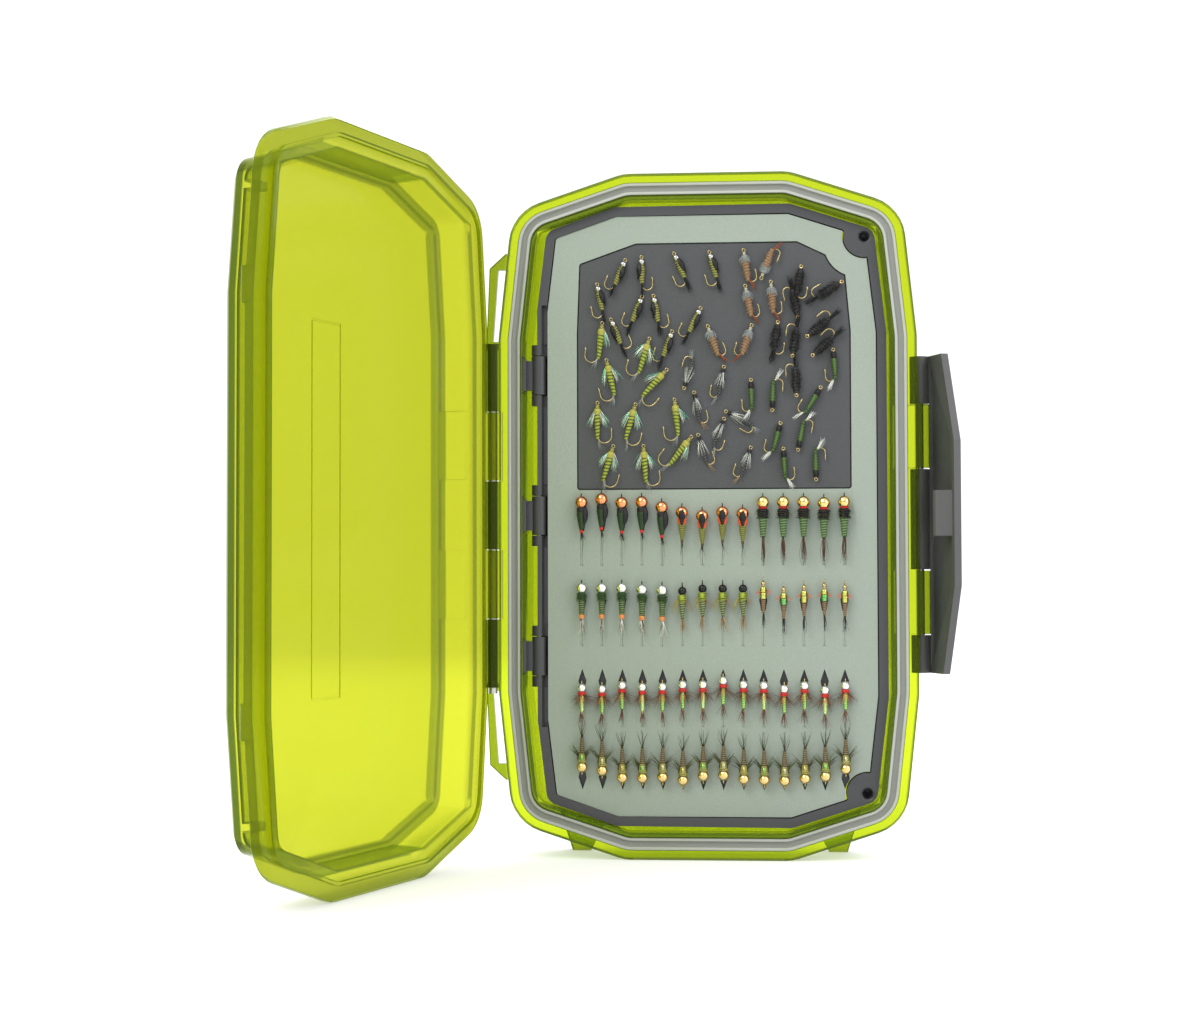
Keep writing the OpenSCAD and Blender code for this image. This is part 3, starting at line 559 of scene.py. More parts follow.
def fibres(
    fly, batch, count, start, end, girth, length, sweep, colour, radius=0.06, turn=(0, TAU), sag=0.12,
    metal=0.0, rough=0.6, vary=0.3, wild=9,
):
    """Fibres that stand out round the shank between two stations, swept back by sweep degrees, give or take wild."""
    a = rng.uniform(turn[0], turn[1], count)
    y = rng.uniform(end, start, count)
    out = np.stack([np.cos(a), 0 * a, np.sin(a)], 1)
    lean = np.radians(sweep + rng.normal(0, wild, count))[:, None]
    reach = length * (1 - vary * rng.random(count))[:, None]
    roots = out * girth * 0.7 + np.stack([0 * a, y, 0 * a], 1)
    tips = roots + reach * (out * np.cos(lean) + np.array([0, -1.0, 0]) * np.sin(lean))
    roots[:, 2], tips[:, 2] = np.maximum(roots[:, 2], fly.low), np.maximum(tips[:, 2], fly.low)
    shade = np.repeat(0.6 + 0.8 * rng.random(count), STRAND_RINGS * STRAND_SIDES)[:, None]
    bow = reach * sag * np.array([0, 0.6, 0]) + out * reach * sag * 0.6
    bow[:, 2] = np.maximum(bow[:, 2], 0)
    fly.put(batch, strands(roots, tips, bow, radius), np.array(colour) * shade, metal, rough)


def tail(fly, batch, count, station, length, spread, colour, radius=0.07, rise=0.2, at=0.0, lean=0.0):
    """Fibres that leave the station in a narrow fan, from at across and turned by lean degrees."""
    a = rng.normal(0, spread, count) + math.radians(lean)
    up = rng.uniform(-0.08, rise, count)
    reach = length * (0.65 + 0.35 * rng.random(count))
    off, over = 0.12 * rng.normal(0, 1, count), 0.12 * rng.normal(0, 1, count)
    roots = np.stack([at + off, np.full(count, station), over], 1)
    tips = roots + np.stack([reach * np.sin(a), -reach * np.cos(a), reach * up], 1)
    tips[:, 2], roots[:, 2] = np.maximum(tips[:, 2], fly.low), np.maximum(roots[:, 2], fly.low)
    sag = np.stack([0.04 * reach * rng.normal(0, 1, count), 0 * a, 0.04 * reach], 1)
    shade = np.repeat(0.6 + 0.8 * rng.random(count), STRAND_RINGS * STRAND_SIDES)[:, None]
    fly.put(batch, strands(roots, tips, sag, radius), np.array(colour) * shade)


# Colours of threads, feathers and metal
COPPER, GOLD, BRASS = (0.86, 0.36, 0.17), (0.9, 0.66, 0.27), (0.56, 0.42, 0.19)
SILVER, PEARL, BLACK_BEAD = (0.82, 0.83, 0.8), (0.9, 0.9, 0.88), (0.03, 0.03, 0.035)
BRONZE, GUNMETAL = (0.42, 0.34, 0.16), (0.05, 0.05, 0.055)
BLACK, DARK, SLATE_GREY = (0.006, 0.006, 0.007), (0.022, 0.02, 0.018), (0.1, 0.11, 0.11)
PEACOCK, DARK_GREEN = (0.012, 0.05, 0.015), (0.014, 0.03, 0.008)
OLIVE, LIME_THREAD = (0.08, 0.1, 0.015), (0.3, 0.36, 0.03)
GRASS, PALE_OLIVE, STRAW = (0.045, 0.1, 0.02), (0.3, 0.34, 0.13), (0.36, 0.31, 0.07)
RED, ORANGE, RUST, PEACH = (0.55, 0.02, 0.015), (0.75, 0.13, 0.02), (0.22, 0.06, 0.025), (0.62, 0.28, 0.08)
BROWN, TAN, GREY, WHITE = (0.09, 0.05, 0.03), (0.34, 0.22, 0.11), (0.3, 0.33, 0.32), (0.8, 0.82, 0.76)
FLASH, GREEN_FLASH, MINT = (0.62, 0.6, 0.14), (0.16, 0.5, 0.14), (0.25, 0.8, 0.5)

# How far along its slot from the tip each bead sits, as it was pushed in by hand
BEAD_FROM_TIP = [
    [1.4, 2.2, 1.2, 1.4, 0, -1.4, -2.4, -1.4, -1.8, 1.2, 1.2, 1.2, 0.9, 1.2],
    [0, 0, 0, -0.4, -0.6, -0.8, -0.2, -0.2, -0.2, 0.6, -1, -0.4, 0, -0.4],
    [-5.1, -5.4, -4.4, -4.9, -4.8, -4.2, -4.2, -3.1, -4.2, -4.4, -5.3, -4.4, -5.6, -4.4],
    [-6.2, -5.3, -3.4, -3.4, -3.6, -2.8, -4, -4.2, -3.2, -3, -2.8, -3.4, -4, -6],
]


def slot_fly_row(row, size, shank, dress):
    """One row of flies in their slots: hooks, beads and dressings as three pieces."""
    tip, hooks, beads, bodies = ROW_TIPS[row - 1], Batch(), Batch(), Batch()
    upside = -1 if row == 4 else 1
    for i, pushed in enumerate(BEAD_FROM_TIP[row - 1]):
        fly = Fly(column(i), tip + upside * pushed, FOAM_TOP + BEAD_R + FLY_GAP, 180 if row == 4 else 0, low=-BEAD_R)
        wire = GUNMETAL if row == 1 or (row == 2 and i < 9) else BRASS
        hook(fly, hooks, size - 0.2, shank, 2.85, 2.8, False, wire)
        dress(i, fly, beads, bodies, size, shank)
    hooks.make(f"row_{row}_hook_wires", dressed, "leaf", "hook_wire", [f"row_{row}_hooks"])
    names = {1: "copper_bead", 2: "silver_bead", 3: "pearl_bead", 4: "gold_bead"}
    beads.make(f"row_{row}_drilled_beads", dressed, "leaf", names[row], [f"row_{row}_beads"])
    bodies.make(f"row_{row}_dressings", dressed, "leaf", f"dressing_{row}", [f"row_{row}_bodies"])


def dress_row_1(i, fly, beads, bodies, size, shank):
    if i < 5:
        bead(fly, beads, size, COPPER)
        wound(fly, bodies, -size * 0.75, -3.1, 1.3, (BLACK, DARK), 4, 0.95, ridge=0.04)
        wound(fly, bodies, -2.6, -shank, 1.35, (DARK_GREEN, PEACOCK), 9, 0.4, 0.05, 0.03)
        back(fly, bodies, (-1.2, -6.4), (1.3, 1.35, 1.2, 0.6), (1, 2.1, 1.6, 0.5), BLACK, 0.6, 64)
        wound(fly, bodies, -shank + 0.1, -shank - 0.7, 0.52, (RED, RED), 3, 0.9)
        tail(fly, bodies, 14, -shank - 0.5, 2.4, 0.13, DARK, 0.09, lean=8)
        tail(fly, bodies, 3, -shank - 0.5, 8.5, 0.04, DARK, 0.05, 0.05)
    elif i < 9:
        bead(fly, beads, size, COPPER)
        arc = size * np.sin(np.arccos(np.linspace(0.35, -0.75, 5)))
        wound(fly, bodies, -size * 0.7, -3.3, 1.32, (ORANGE, RED), 5, 0.75, ridge=0.03, rough=0.25)
        back(fly, bodies, (size * 0.35, -3.5), (*arc, 1.25, 1), (0.9, 1.5, 1.9, 1.9, 1.6, 1, 0.4), BLACK, 0.18)
        wound(fly, bodies, -2.9, -shank, 1.05, (OLIVE, STRAW), 9, 0.36, 0.1, 0.05, sharp=6)
        wound(fly, bodies, -shank + 0.3, -shank - 0.9, 0.42, (BROWN, DARK), 3, 0.6)
        tail(fly, bodies, 4, -shank - 0.7, 4.6, 0.2, DARK, 0.055)
    else:
        bead(fly, beads, size, GOLD)
        back(fly, bodies, (0.1, -1.25), (size, size * 0.6), (0.7, 0.9), BLACK, 0.05)
        wound(fly, bodies, -size * 0.8, -size * 0.8 - 0.55, 1.25, (RED, RED), 3, 0.95)
        wound(fly, bodies, -1.65, -4.3, 1.6, (BLACK, DARK), 5, 0.8, ridge=0.12)
        fibres(fly, bodies, 80, -1.8, -4.2, 1.4, 1.0, 24, BLACK, 0.09)
        fibres(fly, bodies, 26, -1.9, -3.6, 1.1, 2.3, 35, OLIVE, 0.05)
        wound(fly, bodies, -3.9, -9.3, 1.15, ((0.03, 0.08, 0.015), (0.22, 0.3, 0.14)), 8, 0.6, 0.08, 0.08, sharp=5)
        tail(fly, bodies, 20, -9.0, 8.2, 0.05, BROWN, 0.1, 0.1)


def dress_row_2(i, fly, beads, bodies, size, shank):
    if i < 5:
        bead(fly, beads, size, SILVER, 1.0, 0.22)
        wound(fly, bodies, -size * 0.75, -3.2, 1.3, (PEACOCK, GRASS), 5, 0.75, ridge=0.12)
        fibres(fly, bodies, 90, -1.2, -3.1, 1.1, 1.0, 35, GRASS, 0.07)
        fibres(fly, bodies, 30, -1.2, -3.1, 1.1, 1.1, 35, BROWN, 0.06)
        wound(fly, bodies, -3.0, -shank - 0.4, 0.86, (PEACOCK, PALE_OLIVE), 7, 0.8, 0.05, 0.05, sharp=7)
        wound(fly, bodies, -shank - 0.2, -shank - 1.5, 0.74, (PEACH, ORANGE), 4, 0.85, ridge=0.05)
        tail(fly, bodies, 16, -shank - 1.3, 4.8, 0.1, BROWN, 0.07)
        tail(fly, bodies, 16, -shank - 1.3, 4.6, 0.08, WHITE, 0.07)
    elif i < 9:
        bead(fly, beads, size * 0.74, BLACK_BEAD, 0.9, 0.18)
        wound(fly, bodies, -size * 0.6, -3.4, 1.2, (OLIVE, LIME_THREAD), 4, 0.75, ridge=0.06)
        back(fly, bodies, (-1.2, -2.5), (1.15, 1.2), (0.9, 1.3, 0.8), (0.26, 0.34, 0.02), 0.15, -8)
        wound(fly, bodies, -3.1, -shank - 0.7, 0.92, (DARK_GREEN, PALE_OLIVE), 7, 0.45, 0.05, 0.06, sharp=2)
        fibres(fly, bodies, 16, -1.6, -3.2, 1.0, 4.4, 62, STRAW, 0.06, (2.7, 3.6))
        fibres(fly, bodies, 12, -1.6, -3.2, 1.0, 3.4, 62, TAN, 0.06, (-0.5, 0.4))
        tail(fly, bodies, 22, -shank - 0.5, 4.6, 0.16, TAN, 0.07)
        tail(fly, bodies, 8, -shank - 0.5, 3.6, 0.16, DARK, 0.06)
    else:
        wound(fly, bodies, 0.9, -1.0, 0.5, (BRASS, OLIVE), 4, 0.9, metal=0.6, rough=0.3)
        wound(fly, bodies, -0.5, -3.6, 0.95, (OLIVE, BROWN), 4, 0.85, ridge=0.04)
        back(fly, bodies, (-0.5, -1.7), (0.9, 0.95), (1.3, 1.5), FLASH, 0.12, -8, 0.85, 0.16)
        back(fly, bodies, (-1.9, -3.5), (0.95, 0.9), (1.5, 1.3), FLASH if i % 2 else GREEN_FLASH, 0.12, 0, 0.85, 0.16)
        fibres(fly, bodies, 12, -1.2, -2.2, 0.9, 1.7, 15, ORANGE, 0.045, (-0.4, 0.4))
        fibres(fly, bodies, 12, -1.2, -2.2, 0.9, 1.7, 15, ORANGE, 0.045, (2.7, 3.6))
        bead(fly, beads, 0.6, BRASS, 1.0, 0.2, 0.55)
        wound(fly, bodies, -3.4, -shank - 0.6, 0.62, (BROWN, TAN), 8, 0.6, 0.05, 0.08)
        tail(fly, bodies, 16, -shank - 0.4, 4.8, 0.06, DARK, 0.08)


def dress_row_3(i, fly, beads, bodies, size, shank):
    bead(fly, beads, size, PEARL, 1.0, 0.16)
    wound(fly, bodies, -size * 0.7, -size * 0.7 - 1.0, 1.12, (RED, (0.3, 0.01, 0.01)), 3, 0.95, ridge=0.05, rough=0.35)
    glint = (GREEN_FLASH, FLASH) if (i * 5) % 3 else (FLASH, MINT)
    wound(fly, bodies, -1.7, -shank + 0.4, 0.66, glint, 7, 0.75, ridge=0.06, metal=0.75, rough=0.22)
    for turn in ((-0.9, 0.9), (2.25, 4.05)):
        fibres(fly, bodies, 30, -1.6, -2.6, 0.7, 4.6, 50, BROWN, 0.042, turn, 0.03, vary=0.55, wild=24)
        fibres(fly, bodies, 26, -1.6, -2.6, 0.7, 4.2, 44, (0.25, 0.15, 0.1), 0.036, turn, 0.03, vary=0.55, wild=26)
    fibres(fly, bodies, 14, -1.5, -2.2, 0.7, 3.0, 72, PEACH, 0.045, (0.8, 2.3), 0.05)
    tail(fly, bodies, 14, -shank + 0.5, 4.4, 0.2, (0.12, 0.045, 0.03), 0.08)


def dress_row_4(i, fly, beads, bodies, size, shank):
    bead(fly, beads, size, GOLD, 1.0, 0.12)
    wound(fly, bodies, -size * 0.7, -3.7, 1.3, (STRAW, OLIVE), 5, 0.7, ridge=0.08)
    fibres(fly, bodies, 34, -1.3, -3.2, 1.0, 0.8, 40, STRAW, 0.06)
    shine = [(0.2, 0.4, 0.1), (0.4, 0.4, 0.22), (0.4, 0.33, 0.1)][(i * 7) % 3]
    back(fly, bodies, (-size * 0.8, -3.6), (1.05, 1.1, 0.8), (0.7, 1.2, 0.7), shine, 0.2, 0, 0.75, 0.18)
    back(fly, bodies, (-size * 0.8, -3.8), (1.0, 1.15, 0.8), (0.5, 0.5, 0.4), DARK, 0.2, 62)
    back(fly, bodies, (-size * 0.8, -3.8), (1.0, 1.15, 0.8), (0.5, 0.5, 0.4), DARK, 0.2, -62)
    wound(fly, bodies, -3.4, -shank - 1.2, 0.82, ((0.06, 0.045, 0.02), (0.26, 0.2, 0.1)), 8, 0.5, 0.05, 0.12)
    for turn in ((-0.2, 0.5), (2.6, 3.3)):
        fibres(fly, bodies, 7, -2.0, -3.4, 0.9, 4.6, 48, OLIVE, 0.11, turn, -0.05, wild=7)
        fibres(fly, bodies, 5, -2.0, -3.4, 0.9, 3.6, 48, DARK, 0.09, turn, -0.05, wild=9)
    for lean in (-17, 1, 17):
        tail(fly, bodies, 3, -shank - 1.0, 5.2, 0.03, (0.04, 0.04, 0.015), 0.09, 0.12, lean=lean + 5 * math.sin(i))


# ---- Flies on the magnetic pad: eye x, eye y, turn of the shank from straight down, side ----

SILVER_BEAD_FLIES = [
    (-21.9, 68.2, -23, -1), (-17.3, 68.9, 1, 1), (-8.3, 69.8, 23, -1), (1.1, 70, 15, -1),
    (-29.2, 61.7, 11, -1), (-17.4, 58.2, -22, -1), (-14, 58.4, 10, 1), (-25.4, 52.2, 22, 1),
    (-1.7, 55, -26, -1), (-9.3, 48.8, -20, -1),
]
RIBBED_OLIVE_FLIES = [
    (-28, 51.2, -6, -1), (-15.4, 46.9, -17, -1), (-26.7, 41.2, 13, -1), (-11, 38.6, -43, 1),
    (-29.3, 29.7, 0, 1), (-19.2, 29.2, -16, 1), (-8.5, 30.4, 6, -1), (-25.2, 18, -17, 1),
    (-16.9, 18, 4, 1), (-4.4, 20.5, -38, -1),
]
TAN_FLIES = [
    (10.2, 70.4, 8, 1), (15, 63.8, 159, -1), (10.6, 60.8, 11, 1), (17.4, 61.8, 4, 1),
    (12, 50.2, -18, -1), (0.6, 50.1, 19, 1),
]
BLACK_FLIES = [
    (25.4, 65.8, -10, 1), (24.4, 53.2, -169, 1), (35.8, 61.8, -58, -1), (19.1, 50.9, -9, 1),
    (23.1, 42.9, 171, 1), (28.8, 42.8, 132, 1), (27.4, 47.9, 128, 1), (24, 32.3, -178, 1),
]
GREEN_MIDGES = [
    (33.9, 43.4, 4, -1), (11.9, 35.5, 2, -1), (17.6, 28.4, 178, -1), (30.2, 33.4, -31, -1),
    (19.6, 23.9, -15, -1), (24.5, 17.7, 169, -1), (20.5, 17, 3, 1), (29.1, 9.8, 181, -1),
]
DARK_MIDGES = [
    (-5.8, 34.5, 162, 1), (-3.2, 32.3, 10, 1), (4.6, 39.1, -11, -1), (-2.1, 20.9, 16, 1),
    (5.7, 27.4, 62, -1), (11.6, 17.4, -19, -1), (4.5, 25.2, -22, 1),
]


def scatter(name, flies, slot, length, girth, gap, dress):
    """Pad flies of one pattern, each lying on its side on the pad, their bodies bent with the hook."""
    batch = Batch()
    for i, (x, y, turn, side) in enumerate(flies):
        fly = Fly(x, y, PAD_SURFACE + girth + FLY_GAP, turn, side, -girth, (length, gap / 2))
        hook(fly, batch, 0.1, length, gap, 2.4, True, BRONZE)
        dress(i, fly, batch, length)
    batch.make(name + "_dressed", dressed, "leaf", slot, [name])


def dress_silver_bead(i, fly, batch, length):
    bead(fly, batch, 0.9, (0.5, 0.5, 0.47), 1.0, 0.15, -0.75)
    wound(fly, batch, -1.4, -length + 0.3, 0.85, (OLIVE, STRAW), 8, 0.6, ridge=0.08)
    back(fly, batch, (-1.3, -4.6), (0.85, 1, 0.8), (1.6, 2.2, 1.0), BLACK, 0.5, -62)
    fibres(fly, batch, 60, -1.4, -4.8, 0.8, 1.3, 50, BLACK, 0.09, (2.4, 4.0))
    fibres(fly, batch, 22, -1.4, -3.4, 0.8, 1.3, 55, DARK, 0.06)
    tail(fly, batch, 26, -length + 0.6, 4.6, 0.07, BLACK, 0.1, 0.12)


def dress_ribbed_olive(i, fly, batch, length):
    wound(fly, batch, 0.0, -1.3, 0.55, (STRAW, OLIVE), 3, 0.95)
    wound(fly, batch, -1.0, -2.9, 1.0, (STRAW, LIME_THREAD), 3, 0.85, 0.4, 0.03)
    wound(fly, batch, -2.6, -length - 0.8, 0.92, (LIME_THREAD, BLACK), 7, 0.5, 0.05, 0.06, sharp=2)
    for turn in ((2.5, 3.4), (-0.3, 0.5)) if i % 3 else ((2.5, 3.6),):
        fibres(fly, batch, 13, -0.8, -1.8, 0.6, 5.2, 68, WHITE, 0.08, turn, 0.04, 0.5, 0.2, 0.25, 7)
        fibres(fly, batch, 7, -0.8, -1.8, 0.6, 5.4, 64, MINT, 0.07, turn, 0.04, 0.8, 0.2, 0.25, 8)
    tail(fly, batch, 10, -length - 0.5, 3.6, 0.14, GREY, 0.05, 0.1, at=0.3, lean=14)


def dress_tan(i, fly, batch, length):
    wound(fly, batch, 0.0, -1.1, 0.5, (GREY, BRASS), 3, 0.9, metal=0.4, rough=0.3)
    wound(fly, batch, -0.9, -2.6, 0.95, (GREY, SLATE_GREY), 4, 0.9, ridge=0.1)
    fibres(fly, batch, 90, -0.8, -2.4, 0.8, 1.7, 55, GREY, 0.06)
    wound(fly, batch, -2.4, -length - 0.9, 0.98, ((0.16, 0.1, 0.05), (0.28, 0.16, 0.08)), 7, 0.55, 0.15, 0.12, sharp=1)
    fibres(fly, batch, 90, -2.4, -length + 0.2, 0.8, 0.9, 30, (0.3, 0.18, 0.1), 0.045)
    tail(fly, batch, 26, -length - 0.5, 3.4, 0.08, RUST, 0.09, 0.1, at=0.4, lean=24)


def dress_black(i, fly, batch, length):
    wound(fly, batch, 0.0, -length - 0.6, 0.95, (BLACK, DARK), 8, 0.6, ridge=0.12)
    bead(fly, batch, 0.32, GOLD, 1.0, 0.2, 0.1)
    fibres(fly, batch, 120, -0.6, -length + 0.8, 0.8, 1.5, 52, BLACK, 0.11)
    fibres(fly, batch, 34, -0.6, -length + 2, 0.9, 2.4, 60, DARK, 0.08)
    tail(fly, batch, 34, -length + 0.6, 5.2, 0.1, BLACK, 0.11, 0.15)


def dress_green_midge(i, fly, batch, length):
    wound(fly, batch, 0.0, -1.9, 0.8, (BLACK, DARK), 4, 0.9, 0.5)
    bead(fly, batch, 0.3, BRASS, 1.0, 0.2, 0.1)
    back(fly, batch, (-0.4, -1.8), (0.8, 0.85), (0.6, 1.0, 0.6), BLACK, 0.25)
    wound(fly, batch, -1.7, -length - 1.2, 0.84, (GRASS, BLACK), 8, 0.5, 0.1, 0.06)
    back(fly, batch, (-1.8, -length + 0.5), (0.84, 0.7), (0.6, 0.7, 0.3), (0.06, 0.12, 0.025), 0.06)
    tail(fly, batch, 22, -length - 0.9, 3.6, 0.12, WHITE, 0.05, 0.12, at=0.6, lean=30)


def dress_dark_midge(i, fly, batch, length):
    wound(fly, batch, 0.0, -1.6, 0.62, (BLACK, DARK), 4, 0.9)
    wound(fly, batch, -1.3, -length - 1.0, 0.72, (DARK, SLATE_GREY), 9, 0.45, 0.15, 0.08, sharp=5)
    fibres(fly, batch, 12, -0.6, -1.6, 0.6, 4.6, 72, WHITE, 0.06, (0.5, 2.6), 0.05, 0.3, 0.3, 0.3, 8)
    fibres(fly, batch, 12, -0.6, -2.0, 0.6, 1.6, 50, GREY, 0.05)
    tail(fly, batch, 12, -length - 0.7, 3.2, 0.14, TAN if i % 2 else GREY, 0.05, 0.1, at=0.4, lean=20)


# ---- Small parts that only this file draws ----


def slit_lips():
    """Foam that closes on each slot's narrow part: two lips, each a rounded section drawn along the slot."""
    batch = Batch()
    section = np.array(
        [[0.46, -1.2], [0.46, 0.005], [0.2, 0], [0.1, -0.02], [0.05, -0.06], [0.012, -0.14], [0.012, -1.2]]
    )
    n = len(section)
    for row, tip in enumerate(ROW_TIPS, 1):
        upside = -1 if row == 4 else 1
        for i in range(ROW_FLIES):
            x, y = column(i), tip - upside * np.array([6.2, 6.8, 15.0, 15.6])[:, None]
            open_end = np.array([0.14, 0, 0, 0.0])[:, None]
            for side in (-1, 1):
                across = x + side * np.maximum(section[:, 0], section[:, 0] + open_end)
                rings = np.stack([across, y + 0 * across, FOAM_TOP + section[:, 1] + 0 * y], -1)
                faces = grid_faces(4, n)
                ends = [np.arange(n)[None, ::-1], 3 * n + np.arange(n)[None]]
                turn = slice(None, None, 1 if side * upside > 0 else -1)
                batch.add(rings, [f[:, turn] for f in (faces, *ends)], (0.3, 0.34, 0.3))
    batch.make("foam_slit_lips", foam, "leaf", "sage_foam")


def boss_cups():
    """Moulded cup in each corner boss: a profile turned about the boss's axis."""
    batch = Batch()
    profile = np.array([[1.78, -1.75], [1.45, -1.9], [1.3, -2.4], [1.15, -5.0], [0, -5.2], [0, -6.2], [1.78, -6.2]])
    r, z, sides = profile[:, :1], profile[:, 1:], 28
    a = np.arange(sides) * TAU / sides
    for y in (-BOSS_AT[1], BOSS_AT[1]):
        ring = np.stack([BOSS_AT[0] + r * np.cos(a), y + r * np.sin(a), z + 0 * a], -1)
        batch.add(ring, [grid_faces(len(profile), sides)], (0.03, 0.03, 0.03))
    batch.make("corner_boss_cups", slate, "leaf", "slate_plastic")


# ---- Finishes ----

lime_lid = clear_lime("clear lime lid", (0.778, 0.797, 0.19), (0.09, 0.2, 0.03), (0.34, 0.44, 0.02), painted_shade=lid_painted_shade)
lime_body = clear_lime("clear lime body", (0.76, 0.84, 0.13), (0.05, 0.14, 0.02), (0.28, 0.38, 0.02), painted_shade=body_painted_shade)
# painted shade: the shells' rounded edges get this darker tint for the dark lines refraction draws at edges of clear
# plastic
lime_shaded_edges = clear_lime("clear lime shaded edges", (0.3, 0.42, 0.09), (0.03, 0.08, 0.02), (0.1, 0.15, 0.03), 0.25)
sage_seal = silicone("sage silicone", (0.33, 0.345, 0.31))
slate = moulded("slate moulded plastic", (0.034, 0.035, 0.039))
dark_latch = moulded("dark latch plastic", (0.06, 0.06, 0.062), 0.45)
foam = cell_foam("sage closed-cell foam", (0.285, 0.33, 0.285))
magnet = flexible_magnet("dark magnet sheet", (0.05, 0.053, 0.056))
steel = drawn_steel("drawn steel")
dressed = dressing("thread, feather and wire")


def carried(node, material):
    """Gives a solid whose shape is right its finish."""
    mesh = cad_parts[node].data
    mesh.materials.clear()
    mesh.materials.append(material)


def without_top_feet(places):
    """Draws the upper end's two feet back to a line 7 mm inside the slanted corners: real feet are below only."""
    front, rear = FEET_DEPTHS
    foot = (places[:, 2] > FEET_ABOVE) & (abs(places[:, 0]) > FEET_ACROSS)
    foot &= (places[:, 1] > front) & (places[:, 1] < rear)
    across, along, reach = CORNER_LINE
    places[foot, 2] = HALF_LEN * MM + ((reach - 7) * MM - across * abs(places[foot, 0])) / along
    return places


def with_corner_room(places):
    """Draws the leaf's two slanted corners by the hinges in by 0.25 mm, to pass the wall as the leaf swings."""
    along = places[:, 2] - HALF_LEN * MM
    corner = (places[:, 0] < LEAF_CORNER_LEFT) & (abs(along) > LEAF_CORNER_FROM_MIDDLE)
    places[corner, 2] -= 0.25 * MM * np.sign(along[corner])
    return places


# ---- The box ----

softened("case_body", lime_body, "case", 0.35, edging=lime_shaded_edges, reshape=without_top_feet)
softened("case_lid", lime_lid, "lid", 0.35, edging=lime_shaded_edges)
softened("rim_gasket", sage_seal, "case", 0.2, merged=False)
softened("latch", dark_latch, "latch", 0.35)
softened("leaf_frame", slate, "leaf", 0.3, merged=False, reshape=with_corner_room)
for node in ("leaf_clip_top", "leaf_clip_middle", "leaf_clip_bottom"):
    softened(node, slate, "case", 0.15)
softened("leaf_front_foam", foam, "leaf", 0.1, merged=False)
softened("leaf_back_foam", foam, "leaf", 0.1, merged=False)
softened("magnetic_pad", magnet, "leaf", 0.12)
carried("leaf_core_plate", slate)
for node in ("hinge_pin", "latch_pin", "leaf_hinge_pins"):
    carried(node, steel)

slit_lips()
boss_cups()
slot_fly_row(1, BEAD_R, 7.5, dress_row_1)
slot_fly_row(2, 0.91 * BEAD_R, 6.7, dress_row_2)
slot_fly_row(3, 0.74 * BEAD_R, 6.7, dress_row_3)
slot_fly_row(4, 0.88 * BEAD_R, 6.7, dress_row_4)
scatter("pad_flies_silver_bead", SILVER_BEAD_FLIES, "pad_silver_bead", 7, 0.85, 2.8, dress_silver_bead)
scatter("pad_flies_ribbed_olive", RIBBED_OLIVE_FLIES, "pad_ribbed_olive", 8.4, 0.95, 3.8, dress_ribbed_olive)
scatter("pad_flies_tan", TAN_FLIES, "pad_tan", 7, 0.95, 2.4, dress_tan)
scatter("pad_flies_black", BLACK_FLIES, "pad_black", 6.6, 1.05, 2.6, dress_black)
scatter("pad_flies_green_midge", GREEN_MIDGES, "pad_green", 6.6, 0.9, 2.6, dress_green_midge)
scatter("pad_flies_dark_midge", DARK_MIDGES, "pad_dark", 6.8, 0.75, 2.4, dress_dark_midge)

# ---- Floor, light and camera ----


def backdrop():
    """Floor that curves up into a wall: a flat run, a quarter circle of 0.5 m, then a straight rise."""
    rows, cols, flat, rise, bend = 60, 9, 0.55, 0.8, 0.5
    s = np.linspace(0, 1, rows)
    turn = np.clip((s - flat) / (rise - flat), 0, 1) * math.pi / 2
    y = np.where(s < flat, -1.6 + 3.0 * s / flat, 1.4 + bend * np.sin(turn))
    z = np.where(s < rise, bend * (1 - np.cos(turn)), bend + 2.0 * (s - rise) / (1 - rise))
    x = np.linspace(-2.5, 2.5, cols)
    points = np.stack(np.broadcast_arrays(x[None], y[:, None], z[:, None]), -1).reshape(-1, 3)
    mesh = bpy.data.meshes.new("backdrop")
    mesh.from_pydata(points.tolist(), [], grid_faces(rows, cols, False).tolist())
    mesh.shade_smooth()
    paper = Finish("white paper", roughness=0.9, specular_ior_level=0.2)
    paper.put(base_color=paper.mix(paper.noise(3, 2), (0.62, 0.625, 0.625), (0.64, 0.64, 0.64)))
    paper.put(emission_color=(1, 1, 1), emission_strength=0.34)
    mesh.materials.append(paper.material)
    sheet = linked("backdrop", mesh)


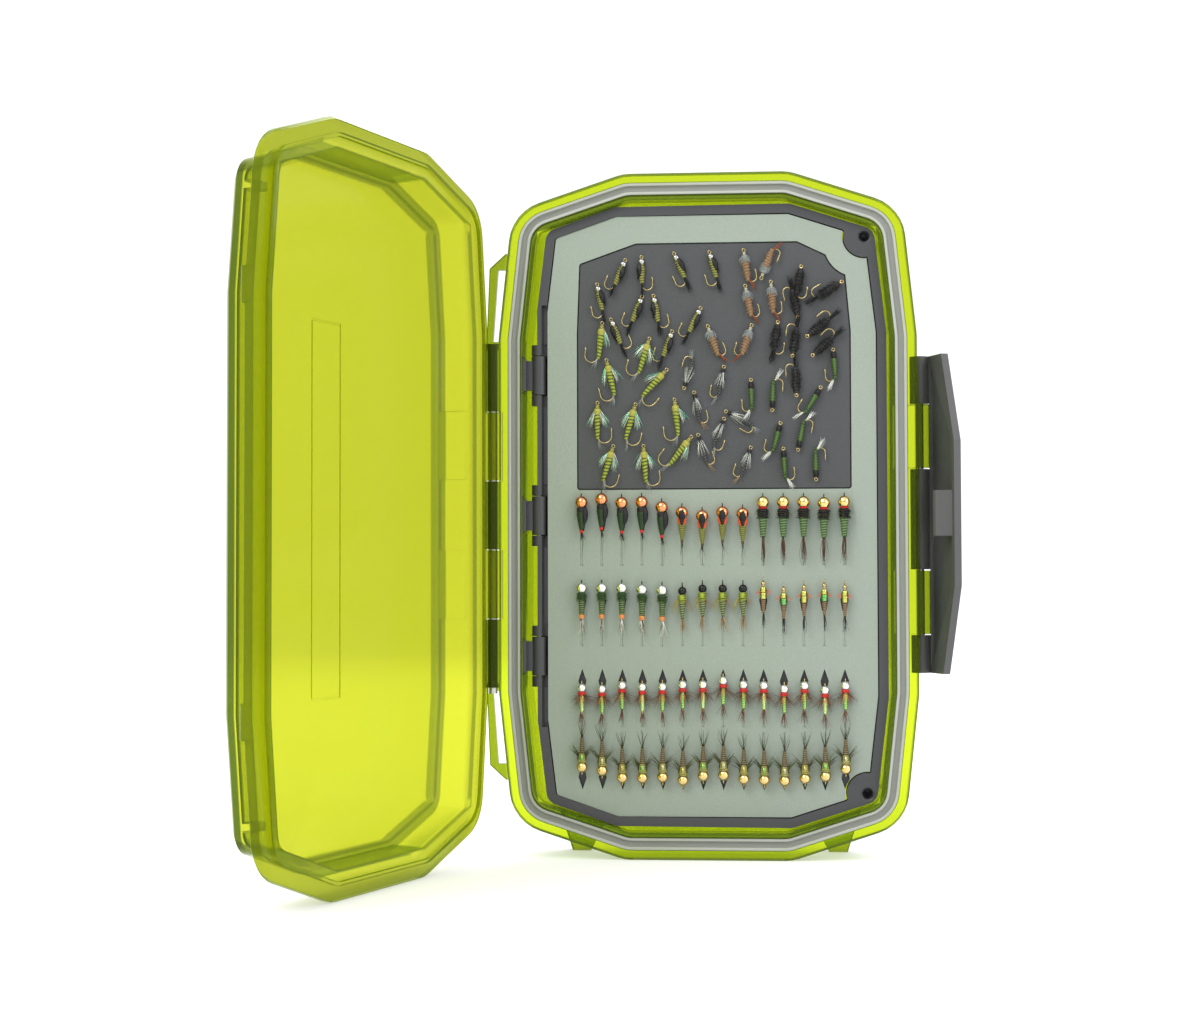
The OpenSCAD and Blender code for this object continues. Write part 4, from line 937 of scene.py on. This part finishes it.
def softbox(name, place, aim, size, power, colour=(1, 1, 1)):
    """Square lamp at a place, turned to aim at a point."""
    lamp = bpy.data.lights.new(name, "AREA")
    lamp.shape, lamp.size, lamp.energy, lamp.color = "SQUARE", size, power, colour
    holder = linked(name, lamp)
    from_aim = np.array(place) - np.array(aim)
    z = from_aim / np.linalg.norm(from_aim)
    x = np.cross([0, 0, 1], z)
    x /= np.linalg.norm(x)
    y = np.cross(z, x)
    holder.matrix_world = Matrix([[x[i], y[i], z[i], place[i]] for i in range(3)] + [[0, 0, 0, 1]])


def camera():
    """Camera at the photograph's place: yaw, pitch and roll about its own axes, and no shift.

    Its focal length is given in the photograph's pixels."""
    yaw, pitch, roll = np.radians([-4.215, 1.795, -0.151])
    ahead = np.array([math.sin(yaw) * math.cos(pitch), math.cos(yaw) * math.cos(pitch), math.sin(pitch)])
    level = np.array([math.cos(yaw), -math.sin(yaw), 0])
    above = np.cross(level, ahead)
    right = math.cos(roll) * level + math.sin(roll) * above
    up = math.cos(roll) * above - math.sin(roll) * level
    place, focal, photo_width, film = (0.01152, -0.547, 0.07585), 2037, 1200, 36
    lens = bpy.data.cameras.new("camera")
    lens.sensor_fit, lens.sensor_width, lens.lens = "HORIZONTAL", film, focal / photo_width * film
    lens.clip_start, lens.clip_end = 0.01, 20
    holder = linked("camera", lens)
    holder.matrix_world = Matrix([[right[i], up[i], -ahead[i], place[i]] for i in range(3)] + [[0, 0, 0, 1]])
    bpy.context.scene.camera = holder


backdrop()
camera()
softbox("key", (-0.5, -0.7, 0.9), (0, 0, 0.08), 0.7, 9)
softbox("fill", (0.8, -0.6, 0.5), (0, 0, 0.08), 0.6, 3)
softbox("back", (0.2, 0.9, 0.9), (0, 0, 0.05), 0.8, 10)

scene = bpy.context.scene
scene.world = scene.world or bpy.data.worlds.new("sky")
scene.world.use_nodes = True
sky = scene.world.node_tree.nodes["Background"]
sky.inputs["Color"].default_value, sky.inputs["Strength"].default_value = (1, 1, 1, 1), 1.2
scene.view_settings.view_transform, scene.view_settings.look = "Standard", "None"
